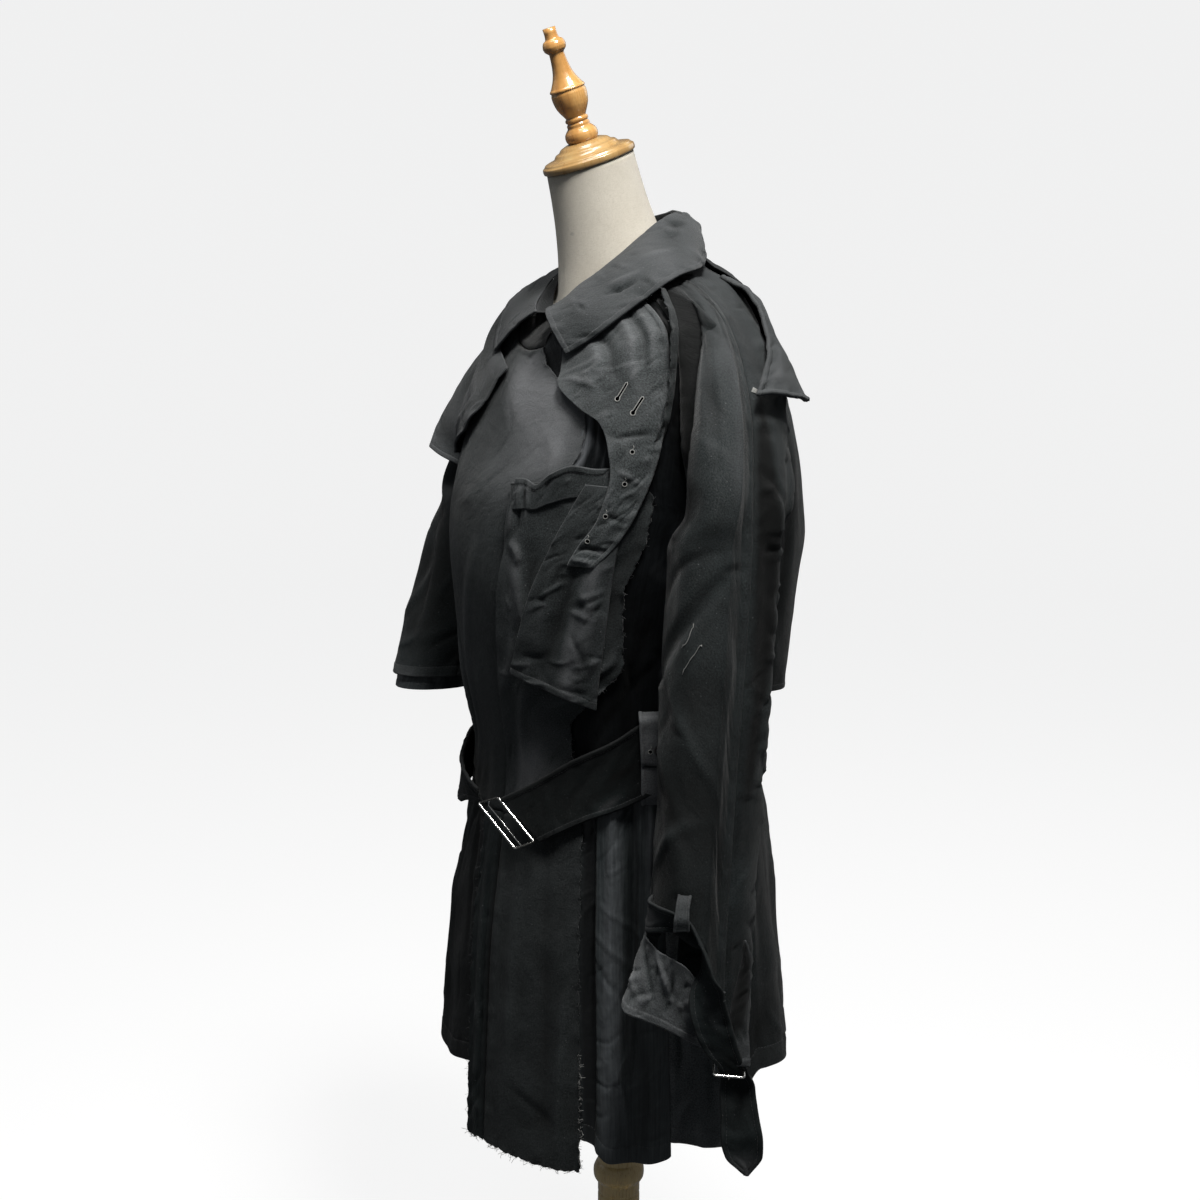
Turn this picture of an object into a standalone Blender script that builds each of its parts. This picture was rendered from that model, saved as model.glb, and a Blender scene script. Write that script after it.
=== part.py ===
"""A cut-away black trench coat worn by a limbless dress form on a turned wooden stand.

The form stands at the origin with its base on the floor. +Z is up, the coat's front faces -Y
and the wearer's left is +X. Every piece of cloth is a thin wall through a grid of points.

Most of the coat hangs on one surface, the body, which is read from a table of rings. A point
of it has a turn, in degrees round the form (0 the centre front, 90 the wearer's left side,
180 the centre back), and a level, the height of its ring at the side. The rings dip at the
front and rise at the back near the neck. Layers on the body are lifted off it.
"""

import math

import bmesh
import bpy
import numpy as np

WALL = 0.0016  # the cloth's thickness
SEAM = 0.0004  # the gap between two pieces that are sewn together
BASE_RADIUS, BASE_HEIGHT = 0.160, 0.024
POLE_RADIUS, BEAD_RADIUS, BEAD_Z = 0.0255, 0.031, 0.362
NECK_TOP, CAP_LEAN = (0.0, -0.039, 1.563), 20.0  # metres, degrees
CAP_AXIS = (0.0, -math.sin(math.radians(CAP_LEAN)), math.cos(math.radians(CAP_LEAN)))
STRAP_WIDTH = 0.037
TORSO_FOOT = 0.795

FINISHES = {
    # finish: (red, green, blue), roughness, metallic
    "coat cloth": ((0.028, 0.030, 0.034), 0.85, 0.0),
    "lining": ((0.045, 0.047, 0.055), 0.45, 0.0),
    "linen": ((0.72, 0.67, 0.58), 0.90, 0.0),
    "varnished wood": ((0.62, 0.36, 0.15), 0.30, 0.0),
    "buckle metal": ((0.62, 0.62, 0.60), 0.28, 1.0),
    "button": ((0.030, 0.030, 0.035), 0.50, 0.0),
}


class Table:
    """Rows of named columns, read smoothly between the rows by their first column."""

    def __init__(self, columns, rows):
        self.columns = columns.split()
        data = np.array(sorted(rows), float)
        self.key, self.data = data[:, 0], data[:, 1:]
        rise = np.diff(self.data, axis=0) / np.diff(self.key)[:, None]
        before, after = rise[:-1], rise[1:]
        same = before * after > 0
        both = np.where(same, before + after, 1.0)
        middle = np.where(same, 2 * before * after / both, 0.0)
        self.slope = np.concatenate([rise[:1], middle, rise[-1:]])

    def __call__(self, key):
        key = np.clip(np.asarray(key, float), self.key[0], self.key[-1])
        i = np.clip(np.searchsorted(self.key, key) - 1, 0, len(self.key) - 2)
        wide = (self.key[i + 1] - self.key[i])[..., None]
        t = (key - self.key[i])[..., None] / wide
        values = (
            self.data[i] * (1 + 2 * t) * (1 - t) ** 2
            + self.data[i + 1] * t * t * (3 - 2 * t)
            + wide * t * (1 - t) * (self.slope[i] * (1 - t) - self.slope[i + 1] * t)
        )
        return dict(zip(self.columns[1:], np.moveaxis(values, -1, 0)))


# ---- The body: the surface that the coat hangs on ----

BODY = Table(
    "level front_z side_z back_z half_width front_depth back_depth",
    [
        (1.460, 1.395, 1.455, 1.468, 0.070, 0.078, 0.068),
        (1.445, 1.375, 1.443, 1.455, 0.105, 0.098, 0.088),
        (1.420, 1.340, 1.425, 1.430, 0.165, 0.116, 0.108),
        (1.380, 1.310, 1.385, 1.385, 0.205, 0.132, 0.126),
        (1.300, 1.255, 1.300, 1.300, 0.215, 0.160, 0.140),
        (1.200, 1.190, 1.200, 1.200, 0.212, 0.187, 0.148),
        (1.120, 1.120, 1.120, 1.120, 0.205, 0.193, 0.146),
        (1.000, 1.000, 1.000, 1.000, 0.193, 0.180, 0.140),
        (0.900, 0.900, 0.900, 0.900, 0.188, 0.163, 0.145),
        (0.820, 0.820, 0.820, 0.820, 0.196, 0.171, 0.157),
        (0.700, 0.700, 0.700, 0.700, 0.214, 0.188, 0.172),
        (0.560, 0.560, 0.560, 0.560, 0.228, 0.197, 0.184),
        (0.400, 0.400, 0.400, 0.400, 0.238, 0.206, 0.192),
    ],
)

# The soft upright folds in which the skirt hangs: out from the body, or in where the height is negative.
SKIRT_FOLDS = [
    # turn at the waist, turn at the hem, half width in degrees, height at the hem
    (-58, -66, 15, 0.011),
    (-80, -88, 11, -0.008),
    (-24, -22, 14, -0.007),
    (28, 27, 12, -0.003),
    (50, 52, 6, 0.006),
    (60, 61, 6, -0.006),
    (68, 70, 5, 0.004),
    (82, 84, 8, 0.006),
    (99, 103, 10, -0.008),
    (117, 121, 12, 0.011),
    (134, 136, 9, -0.009),
    (168, 172, 13, 0.010),
    (190, 190, 10, -0.008),
    (213, 209, 14, 0.011),
    (234, 231, 10, -0.009),
    (252, 252, 10, 0.008),
]
FOLD_TOP, FOLD_FOOT = 0.875, 0.500


def fold(turn, level):
    """How far the skirt's folds stand out of the body here."""
    share = np.clip((FOLD_TOP - level) / (FOLD_TOP - FOLD_FOOT), 0, 1)
    total = 0.0 * (turn + level)
    for top_turn, hem_turn, half_width, height in SKIRT_FOLDS:
        centre = top_turn + (hem_turn - top_turn) * share
        away = np.abs((turn - centre + 180) % 360 - 180)
        total = total + height * share * np.cos(np.clip(away / half_width, 0, 1) * math.pi / 2) ** 2
    return total


def ring_point(turn, level):
    ring = BODY(level)
    sine, cosine = np.sin(np.radians(turn)), np.cos(np.radians(turn))
    ahead = cosine > 0
    end_z = np.where(ahead, ring["front_z"], ring["back_z"])
    depth = np.where(ahead, ring["front_depth"], ring["back_depth"])
    out = fold(turn, level)
    x, y = (ring["half_width"] + out) * sine, -(depth + out) * cosine
    return np.stack([x, y, ring["side_z"] + (end_z - ring["side_z"]) * cosine**2], -1)


def body(turn, level, lift=0.0):
    """Points of the body at these turns and levels, moved out by lift."""
    turn, level, lift = np.broadcast_arrays(*(np.asarray(v, float) for v in (turn, level, lift)))
    across = ring_point(turn + 0.5, level) - ring_point(turn - 0.5, level)
    along = ring_point(turn, level + 0.002) - ring_point(turn, level - 0.002)
    out = np.cross(across, along)
    out /= np.linalg.norm(out, axis=-1, keepdims=True)
    return ring_point(turn, level) + out * lift[..., None]


# ---- Solids ----


def finish_of(name):
    for mark, finish in (("lining", "lining"), ("buckle", "buckle metal"), ("button_", "button"),
                         ("torso", "linen"), ("form", "varnished wood")):
        if mark in name:
            return finish
    return "coat cloth"


def material(finish):
    """The Principled material of a finish, made the first time that it is asked for."""
    made = bpy.data.materials.get(finish) or bpy.data.materials.new(finish)
    colour, roughness, metallic = FINISHES[finish]
    made.use_nodes = True
    shader = made.node_tree.nodes["Principled BSDF"]
    shader.inputs["Base Color"].default_value = (*colour, 1.0)
    shader.inputs["Roughness"].default_value = roughness
    shader.inputs["Metallic"].default_value = metallic
    return made


def solid(name, points, faces):
    """A mesh object from points and faces, with its faces turned outward."""
    mesh = bpy.data.meshes.new(name)
    mesh.from_pydata([tuple(p) for p in points], [], faces)
    shell = bmesh.new()
    shell.from_mesh(mesh)
    bmesh.ops.recalc_face_normals(shell, faces=shell.faces)
    if shell.calc_volume(signed=True) < 0:
        bmesh.ops.reverse_faces(shell, faces=shell.faces)
    shell.to_mesh(mesh)
    shell.free()
    mesh.materials.append(material(finish_of(name)))
    mesh.shade_smooth()
    mesh.set_sharp_from_angle(angle=math.radians(35))
    made = bpy.data.objects.new(name, mesh)
    bpy.context.scene.collection.objects.link(made)
    return made


def unit(vectors):
    return vectors / np.linalg.norm(vectors, axis=-1, keepdims=True)


def grid_normals(grid):
    return unit(np.cross(np.gradient(grid, axis=1), np.gradient(grid, axis=0)))


def panel(name, grid, wall=WALL):
    """A wall of cloth through a grid of points, rows by columns."""
    rows, columns = grid.shape[:2]
    normals = grid_normals(grid)
    front, back = grid + normals * wall / 2, grid - normals * wall / 2
    points = np.concatenate([front.reshape(-1, 3), back.reshape(-1, 3)])
    index = np.arange(rows * columns).reshape(rows, columns)
    other = index + rows * columns
    faces = []
    for r in range(rows - 1):
        for c in range(columns - 1):
            a, b, d, e = index[r, c], index[r, c + 1], index[r + 1, c + 1], index[r + 1, c]
            faces += [(a, b, d), (a, d, e)]
            a, b, d, e = other[r, c], other[r + 1, c], other[r + 1, c + 1], other[r, c + 1]
            faces += [(a, b, d), (a, d, e)]
    rim = [(r, 0) for r in range(rows)]
    rim += [(rows - 1, c) for c in range(1, columns)]
    rim += [(r, columns - 1) for r in range(rows - 2, -1, -1)]
    rim += [(0, c) for c in range(columns - 2, 0, -1)]
    for here, after in zip(rim, rim[1:] + rim[:1]):
        faces.append((index[here], index[after], other[after], other[here]))
    return solid(name, points, faces)


def lathe(name, profile, segments, origin=(0.0, 0.0, 0.0), axis=(0.0, 0.0, 1.0)):
    """A turned solid from (radius, height) rows, with its height along an axis."""
    up = unit(np.array(axis, float))
    side = unit(np.cross(up, [0.0, 1.0, 0.0] if abs(up[1]) < 0.9 else [1.0, 0.0, 0.0]))
    other = np.cross(up, side)
    angle = np.linspace(0, 2 * math.pi, segments, endpoint=False)
    ring = side * np.cos(angle)[:, None] + other * np.sin(angle)[:, None]
    points = [ring * radius + up * height for radius, height in profile]
    points = np.concatenate([*points, [up * profile[0][1], up * profile[-1][1]]])
    faces = []
    for r in range(len(profile) - 1):
        for c in range(segments):
            after = (c + 1) % segments
            low, high = r * segments, (r + 1) * segments
            faces.append((low + c, low + after, high + after, high + c))
    last = (len(profile) - 1) * segments
    for c in range(segments):
        after = (c + 1) % segments
        faces.append((len(points) - 2, after, c))
        faces.append((len(points) - 1, last + c, last + after))
    return solid(name, points + np.array(origin), faces)


def frame(name, centre, wide, tall, size, rod, bar):
    """A rectangular buckle of square rod, rounded a little, with a bar across its middle."""
    wide, tall = np.array(wide, float), np.array(tall, float)
    wide = unit(wide)
    tall = unit(tall - wide * (tall @ wide))
    depth = np.cross(wide, tall)
    half_w, half_h = size[0] / 2, size[1] / 2
    xs = [-half_w, -half_w + rod, bar - rod / 2, bar + rod / 2, half_w - rod, half_w]
    ys = [-half_h, -half_h + rod, half_h - rod, half_h]
    points = [
        np.array(centre) + wide * x + tall * y + depth * d
        for d in (-rod / 2, rod / 2)
        for y in ys
        for x in xs
    ]
    solid_cell = {(r, c) for r in range(3) for c in range(5) if r != 1 or c % 2 == 0}
    faces = []
    for r, c in solid_cell:
        low, high = r * 6 + c, 24 + r * 6 + c
        faces.append((low, low + 6, low + 7, low + 1))
        faces.append((high, high + 1, high + 7, high + 6))
        for beside, ends in (
            ((r - 1, c), (low, low + 1)),
            ((r + 1, c), (low + 7, low + 6)),
            ((r, c - 1), (low + 6, low)),
            ((r, c + 1), (low + 1, low + 7)),
        ):
            if beside not in solid_cell:
                faces.append((ends[0], ends[1], ends[1] + 24, ends[0] + 24))
    made = solid(name, points, faces)
    bevel = made.modifiers.new("Bevel", "BEVEL")
    bevel.width, bevel.segments, bevel.limit_method = rod * 0.28, 1, "ANGLE"
    return made


def ribbon(name, middle, across, widths, steps, wall=WALL):
    """A strap along a line of points, each with the direction and width of the strap there."""
    key = np.linspace(0, 1, len(middle))
    rows = [(k, *m, *unit(np.array(a, float)), w) for k, m, a, w in zip(key, middle, across, widths)]
    line = Table("key x y z a b c width", rows)(np.linspace(0, 1, steps))
    centre = np.stack([line["x"], line["y"], line["z"]], -1)[:, None]
    side = unit(np.stack([line["a"], line["b"], line["c"]], -1))[:, None]
    half = line["width"][:, None, None] / 2
    place = np.array([-1.0, 0.0, 1.0])[None, :, None]
    return panel(name, centre + side * half * place, wall)


def patch(rows, columns, lift=0.0, bottom=None, dip=0.0, steps=12, at=None):
    """A grid on the body between a left and a right edge, given row by row from its foot."""
    key = np.linspace(0, 1, len(rows))
    table = Table("key lt ll rt rl", [(k, *row) for k, row in zip(key, rows)])
    down = np.linspace(0, 1, steps) if at is None else at
    v, u = np.meshgrid(down, np.linspace(0, 1, columns), indexing="ij")
    edge = table(v)
    turn = edge["lt"] + (edge["rt"] - edge["lt"]) * u
    level = edge["ll"] + (edge["rl"] - edge["ll"]) * u
    if bottom is not None:
        foot = table(np.zeros_like(u))
        straight = foot["ll"] + (foot["rl"] - foot["ll"]) * u
        level = level + (bottom(foot["lt"] + (foot["rt"] - foot["lt"]) * u) - straight) * (1 - v)
    level = level - dip * np.sin(math.pi * u) * v**4
    return body(turn, level, lift(u, v) if callable(lift) else lift)


def mirrored(grid):
    return (grid * np.array([-1.0, 1.0, 1.0]))[:, ::-1]


# ---- Where the pieces meet: the waist seam and the two raglan seams ----

WAIST_LINE = Table(
    "turn level",
    [(0, 0.842), (10, 0.845), (30, 0.864), (50, 0.886), (70, 0.908), (90, 0.920), (180, 0.925)],
)
SLEEVE = Table(
    "row top_level front_turn front_level back_turn back_level arm"
    " out_x out_y out_z in_x front_bulge back_bulge under",
    [
        (0, 1.4595, 62.0, 1.4595, 140.0, 1.4595, 0.00, 0.100, 0.000, 1.450, 0.2, 0.000, 0.000, 0),
        (1, 1.4470, 66.0, 1.4350, 136.0, 1.4380, 0.00, 0.150, 0.000, 1.440, 0.2, 0.000, 0.000, 0),
        (2, 1.4230, 69.0, 1.3980, 132.0, 1.4100, 0.12, 0.195, 0.000, 1.428, 0.2, 0.006, 0.006, 0),
        (3, 1.3900, 71.5, 1.3500, 126.0, 1.3720, 0.50, 0.238, -0.004, 1.398, 0.2, 0.020, 0.018, 0),
        (4, 1.3500, 73.0, 1.3050, 119.0, 1.3200, 0.88, 0.272, -0.010, 1.345, 0.2, 0.038, 0.030, 0),
        (5, 1.3100, 75.0, 1.2650, 112.5, 1.2750, 1.00, 0.294, -0.016, 1.285, 0.2, 0.047, 0.034, 0),
        (6, 1.2700, 78.0, 1.2280, 107.0, 1.2350, 1.00, 0.305, -0.022, 1.235, 0.2, 0.055, 0.043, 0),
        (7, 1.2300, 84.0, 1.1980, 98.0, 1.2000, 1.00, 0.310, -0.025, 1.200, 0.216, 0.061, 0.052, 0.3),
        (8, 1.2000, 90.0, 1.1860, 90.0, 1.1860, 1.00, 0.312, -0.027, 1.160, 0.218, 0.064, 0.058, 1),
        (9, 1.2000, 90.0, 1.1860, 90.0, 1.1860, 1.00, 0.313, -0.032, 1.080, 0.220, 0.064, 0.060, 1),
        (10, 1.200, 90.0, 1.1860, 90.0, 1.1860, 1.00, 0.314, -0.040, 0.980, 0.222, 0.062, 0.060, 1),
        (11, 1.200, 90.0, 1.1860, 90.0, 1.1860, 1.00, 0.313, -0.046, 0.880, 0.224, 0.060, 0.058, 1),
        (12, 1.200, 90.0, 1.1860, 90.0, 1.1860, 1.00, 0.313, -0.052, 0.780, 0.222, 0.061, 0.056, 1),
        (13, 1.200, 90.0, 1.1860, 90.0, 1.1860, 1.00, 0.314, -0.057, 0.680, 0.218, 0.064, 0.056, 1),
        (14, 1.200, 90.0, 1.1860, 90.0, 1.1860, 1.00, 0.315, -0.060, 0.630, 0.216, 0.066, 0.056, 1),
    ],
)


# The main creases of the sleeves, as soft troughs and ridges along a line on one half.
LEFT_CREASES = [
    # half, across and row of the first end, across and row of the last, half width, depth
    ("front", 0.44, 1.9, 0.62, 8.6, 0.16, -0.0150),
    ("front", 0.30, 1.9, 0.36, 8.0, 0.12, 0.0050),
    ("front", 0.10, 8.2, 0.62, 9.5, 0.10, -0.0060),
    ("front", 0.62, 9.6, 0.28, 11.6, 0.12, 0.0050),
    ("back", 0.16, 5.2, 0.20, 10.2, 0.09, 0.0055),
    ("back", 0.34, 5.6, 0.32, 10.6, 0.10, -0.0080),
    ("back", 0.20, 8.6, 0.70, 9.3, 0.14, -0.0060),
    ("back", 0.75, 9.6, 0.30, 10.3, 0.14, -0.0060),
    ("back", 0.25, 10.4, 0.70, 11.3, 0.14, -0.0050),
    ("back", 0.50, 11.2, 0.52, 13.4, 0.14, 0.0050),
]
RIGHT_CREASES = [
    ("front", 0.30, 6.8, 0.62, 10.2, 0.14, -0.0070),
    ("front", 0.52, 6.5, 0.30, 10.2, 0.12, 0.0040),
    ("back", 0.40, 6.5, 0.55, 10.2, 0.14, -0.0070),
    ("back", 0.20, 8.4, 0.70, 9.1, 0.14, -0.0040),
]
ROW_PER_ACROSS = 1.1  # a crease's width in rows where it runs across the sleeve


def crease(creases, half, across, row):
    """How far the creases stand out of one half of a sleeve here."""
    total = 0.0 * (across + row)
    for on, across_0, row_0, across_1, row_1, half_width, depth in creases:
        if on != half:
            continue
        run = np.array([across_1 - across_0, (row_1 - row_0) / ROW_PER_ACROSS])
        place = np.stack([across - across_0, (row - row_0) / ROW_PER_ACROSS], -1)
        share = np.clip(place @ run / (run @ run), 0, 1)
        away = np.linalg.norm(place - share[..., None] * run, axis=-1)
        swell = 0.35 + 0.65 * np.sin(math.pi * np.clip(share, 0.06, 0.94))
        total = total + depth * swell * np.cos(np.clip(away / half_width, 0, 1) * math.pi / 2) ** 2
    return total * np.clip((1 - across) / 0.15, 0, 1)


SLEEVE_ROWS = np.array(
    [0, 0.6, 1.2, 1.8, 2.4, 3, 3.6, 4.2, 4.8, 5.4, 6, 6.6, 7.3, 8, 8.5, 9, 9.5, 10, 10.6, 11.3, 12, 12.9]
)
SEAM_ROWS = SLEEVE_ROWS[2:14]  # the rows that end on a raglan seam, sampled by both sides of it


def sleeve(half, across, row, creases, swing=0.0):
    """The wearer's left sleeve: across 0 is the over-arm line, 1 the raglan or underarm seam."""
    across, row = np.broadcast_arrays(np.asarray(across, float), np.asarray(row, float))
    s = SLEEVE(row)
    front = half == "front"
    side = -1.0 if front else 1.0
    seam_turn, seam_level = s[half + "_turn"], s[half + "_level"]
    a = across[..., None]
    on_body = body(
        90 + (seam_turn - 90) * across, s["top_level"] + (seam_level - s["top_level"]) * across
    )
    out = np.stack([s["out_x"], s["out_y"], s["out_z"]], -1)
    inner = np.stack([s["in_x"], s["out_y"], s["out_z"]], -1)
    under = np.clip(s["under"], 0, 1)[..., None]
    seam = body(seam_turn, seam_level) * (1 - under) + inner * under
    away = np.stack([0.5 * (1 - under[..., 0]), side * np.ones_like(row), 0 * row], -1)
    arm = np.clip(s["arm"], 0, 1)[..., None]
    share = a + arm * ((1 - np.cos(math.pi * a)) / 2 - a)
    swell = unit(away) * s[half + "_bulge"][..., None] * np.sin(math.pi * a)
    grid = on_body * (1 - arm) + (out + (seam - out) * share + swell) * arm
    outward = unit(grid - (out + (seam - out) * 0.5)) * [1, 1, 0.3]
    grid = grid + unit(outward) * crease(creases, half, across, row)[..., None]
    grid[..., 1] -= swing * np.clip(1.22 - grid[..., 2], 0, None)
    return grid


# ---- The scene starts empty ----

for thing in list(bpy.data.objects):
    bpy.data.objects.remove(thing)

# ---- The stand: a round base, a turned pole with a bead, and the limbless form ----

lathe(
    "form_base",
    [(0.152, 0.0), (0.159, 0.004), (BASE_RADIUS, 0.012), (0.156, 0.018), (0.146, BASE_HEIGHT),
     (0.060, BASE_HEIGHT + 0.004), (0.042, BASE_HEIGHT + 0.010), (0.034, BASE_HEIGHT + 0.018)],
    32,
)
lathe(
    "form_pole",
    [(POLE_RADIUS, BASE_HEIGHT + 0.0184), (POLE_RADIUS, BEAD_Z - 0.014), (0.0275, BEAD_Z - 0.012),
     (BEAD_RADIUS, BEAD_Z - 0.006), (BEAD_RADIUS, BEAD_Z + 0.004), (0.029, BEAD_Z + 0.008),
     (0.0275, BEAD_Z + 0.011), (POLE_RADIUS, BEAD_Z + 0.013), (POLE_RADIUS, TORSO_FOOT - SEAM)],
    20,
)

TORSO_IN = Table(
    "level inset",
    [(0.80, 0.040), (0.90, 0.022), (1.00, 0.022), (1.12, 0.018), (1.22, 0.011), (1.32, 0.0062),
     (1.38, 0.0047), (1.46, 0.0047)],
)


def torso():
    turns = np.arange(0, 360, 12.0)
    levels = [0.80, 0.86, 0.93, 1.00, 1.06, 1.12, 1.18, 1.24, 1.30, 1.34, 1.38, 1.41, 1.43, 1.445, 1.46]
    rings = [body(turns, level, -TORSO_IN(level)["inset"]) for level in levels]
    rings[0][:, 2] = TORSO_FOOT
    low = rings[-1]
    sine, cosine = np.sin(np.radians(turns)), np.cos(np.radians(turns))
    lean = math.radians(CAP_LEAN)
    top = np.array(NECK_TOP)
    for share, radius in ((0.3, 0.0590), (0.55, 0.0545), (0.8, 0.0515), (1.0, 0.0500)):
        ring = np.stack([radius * sine, -radius * cosine * math.cos(lean), 0 * sine], -1)
        ring[:, 2] = radius * cosine * math.sin(-lean)
        middle = np.array([0.0, -0.004, 1.432]) + (top - np.array([0.0, -0.004, 1.432])) * share
        mixed = ring + middle
        rings.append(mixed * min(1.0, 0.4 + share) + (low + (mixed - low) * share) * (0.6 - share)
                     if share < 0.6 else mixed)
    points = np.concatenate(rings)
    count = len(turns)
    faces = []
    for r in range(len(rings) - 1):
        for c in range(count):
            after = (c + 1) % count
            faces.append((r * count + c, r * count + after, (r + 1) * count + after, (r + 1) * count + c))
    ends = np.stack([rings[0].mean(0), rings[-1].mean(0)])
    points = np.concatenate([points, ends])
    last = (len(rings) - 1) * count
    for c in range(count):
        after = (c + 1) % count
        faces.append((len(points) - 2, after, c))
        faces.append((len(points) - 1, last + c, last + after))
    return solid("form_torso", points, faces)


torso()
lathe(
    "form_cap",
    [(0.0505, 0.0004), (0.0528, 0.003), (0.0528, 0.008), (0.0490, 0.0105), (0.0380, 0.013),
     (0.0360, 0.0165), (0.0300, 0.0190), (0.0270, 0.0225), (0.0205, 0.0245)],
    28, NECK_TOP, CAP_AXIS,
)
lathe(
    "form_finial",
    [(0.0165, 0.0248), (0.0185, 0.0296), (0.0180, 0.0351), (0.0125, 0.0406), (0.0128, 0.0443),
     (0.0112, 0.0461), (0.0130, 0.0489), (0.0112, 0.0517), (0.0160, 0.0599), (0.0192, 0.0691),
     (0.0198, 0.0783), (0.0190, 0.0811), (0.0200, 0.0829), (0.0180, 0.0857), (0.0130, 0.0949),
     (0.0095, 0.1078), (0.0082, 0.1225), (0.0120, 0.1253), (0.0131, 0.1299), (0.0110, 0.1354),
     (0.0075, 0.1372), (0.0072, 0.1492)],
    16, NECK_TOP, CAP_AXIS,
)

# ---- The bodice: chest panel, the left side's lining and the two backs ----

CHEST_ROWS = [
    (-89.8, 0.920, 14.0, 0.845),
    (-89.8, 1.000, 18.0, 0.960),
    (-89.8, 1.080, 23.0, 1.060),
    (-89.8, 1.184, 31.0, 1.180),
    (-83.4, 1.198, 34.5, 1.220),
    (-77.4, 1.228, 38.0, 1.252),
    (-74.4, 1.265, 40.5, 1.285),
    (-72.4, 1.305, 38.0, 1.335),
    (-70.9, 1.350, 26.0, 1.378),
    (-68.4, 1.398, 16.0, 1.412),
    (-63.3, 1.448, 7.0, 1.436),
]


def waist(turn):
    return WAIST_LINE(np.abs((np.asarray(turn, float) + 180) % 360 - 180))["level"]


FRONT_STEPS = np.concatenate([[0, 0.04, 0.08, 0.13, 0.19, 0.25], 0.3 + (8 - SEAM_ROWS[::-1]) / 10, [1]])
panel("chest_panel", patch(CHEST_ROWS, 13, bottom=lambda t: waist(t) + SEAM, dip=0.010, at=FRONT_STEPS))


def throat(turn):
    u = (turn + 63.3) / 70.3
    return 1.4490 - 0.0120 * u - 0.010 * np.sin(math.pi * u)


FACING_ROWS = [(-63.3, 1.4490, 7.0, 1.4370), (-61.4, 1.4588, 7.5, 1.4588)]
panel("neck_facing", patch(FACING_ROWS, 9, bottom=throat, steps=4))
SIDE_ROWS = [
    (31.0, 0.866, 89.8, 0.920),
    (31.0, 0.960, 89.8, 1.000),
    (31.0, 1.060, 89.8, 1.080),
    (33.0, 1.180, 89.8, 1.184),
    (36.5, 1.220, 83.4, 1.198),
    (41.0, 1.252, 77.4, 1.228),
    (42.5, 1.285, 74.4, 1.265),
    (40.5, 1.335, 72.4, 1.305),
    (28.5, 1.380, 70.9, 1.350),
    (18.5, 1.414, 68.4, 1.398),
    (9.0, 1.447, 61.4, 1.459),
]
panel("side_lining_left", patch(SIDE_ROWS, 8, bottom=lambda t: waist(t) + SEAM, at=FRONT_STEPS))

BACK_TOP = Table(
    "turn level",
    [(90.2, 1.186), (98.0, 1.200), (107.0, 1.235), (112.5, 1.275), (119.0, 1.320), (126.0, 1.372),
     (132.0, 1.410), (137.0, 1.436), (141.5, 1.4590), (180.0, 1.4594)],
)
BACK_HEM = Table("turn level", [(90, 0.492), (97, 0.500), (103, 0.540), (109, 0.562), (180, 0.556)])
BACK_TURNS = np.concatenate([SLEEVE(SEAM_ROWS[::-1])["back_turn"] + 0.2, [138.5, 140.2, 153.0, 166.0, 179.85]])


def back(turns, steps):
    turn = np.array(turns)[None, :]
    share = 1 - np.linspace(1, 0, steps)[:, None] ** 1.7
    low, high = BACK_HEM(turn)["level"], BACK_TOP(turn - 0.45)["level"] - 0.0004
    return body(turn + 0 * share, low + (high - low) * share)


panel("back_left", back(BACK_TURNS, 13))
panel("back_right", mirrored(back(BACK_TURNS, 13)))

# ---- The skirt: right front, its front strip, the long front facing, the lining and side ----


def skirt(name, left, right, hem, columns, steps, lift=0.0, top=None):
    """A panel below the waist seam: left and right edges as (top turn, bottom turn)."""
    u = np.linspace(0, 1, columns)[None, :]
    v = np.linspace(0, 1, steps)[:, None]
    turn = (left[1] + (right[1] - left[1]) * u) * (1 - v) + (left[0] + (right[0] - left[0]) * u) * v
    low = hem(u) + 0 * v
    high = (waist(turn) - SEAM) if top is None else top
    return panel(name, body(turn, low + (high - low) * v, lift(u, v) if callable(lift) else lift))


def curve(*rows):
    table = Table("u level", rows)
    return lambda u: table(u)["level"]


skirt(
    "skirt_right", (-89.8, -89.8), (5.0, 7.0), curve((0, 0.535), (0.6, 0.522), (1, 0.552)), 12, 9,
    lambda u, v: 0.024 * (1 - v) ** 1.5 * (1 - u) * np.clip(4 * u, 0, 1),
)
skirt("front_strip", (-2.0, 1.0), (9.85, 9.85), curve((0, 0.462), (1, 0.465)), 3, 10, 0.0034)
skirt("front_facing_left", (10.0, 10.0), (43.5, 45.0), curve((0, 0.465), (0.5, 0.462), (1, 0.466)), 6, 12, 0.0034)
skirt("skirt_lining_left", (43.0, 46.0), (72.0, 71.6), curve((0, 0.500), (0.3, 0.482), (0.7, 0.480), (1, 0.490)), 6, 11)
skirt("skirt_side_left", (72.2, 71.8), (89.8, 89.8), curve((0, 0.506), (1, 0.492)), 4, 9)

# ---- Layers on the left front: pocket piece, its band, the placket and the buttonhole piece ----

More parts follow.
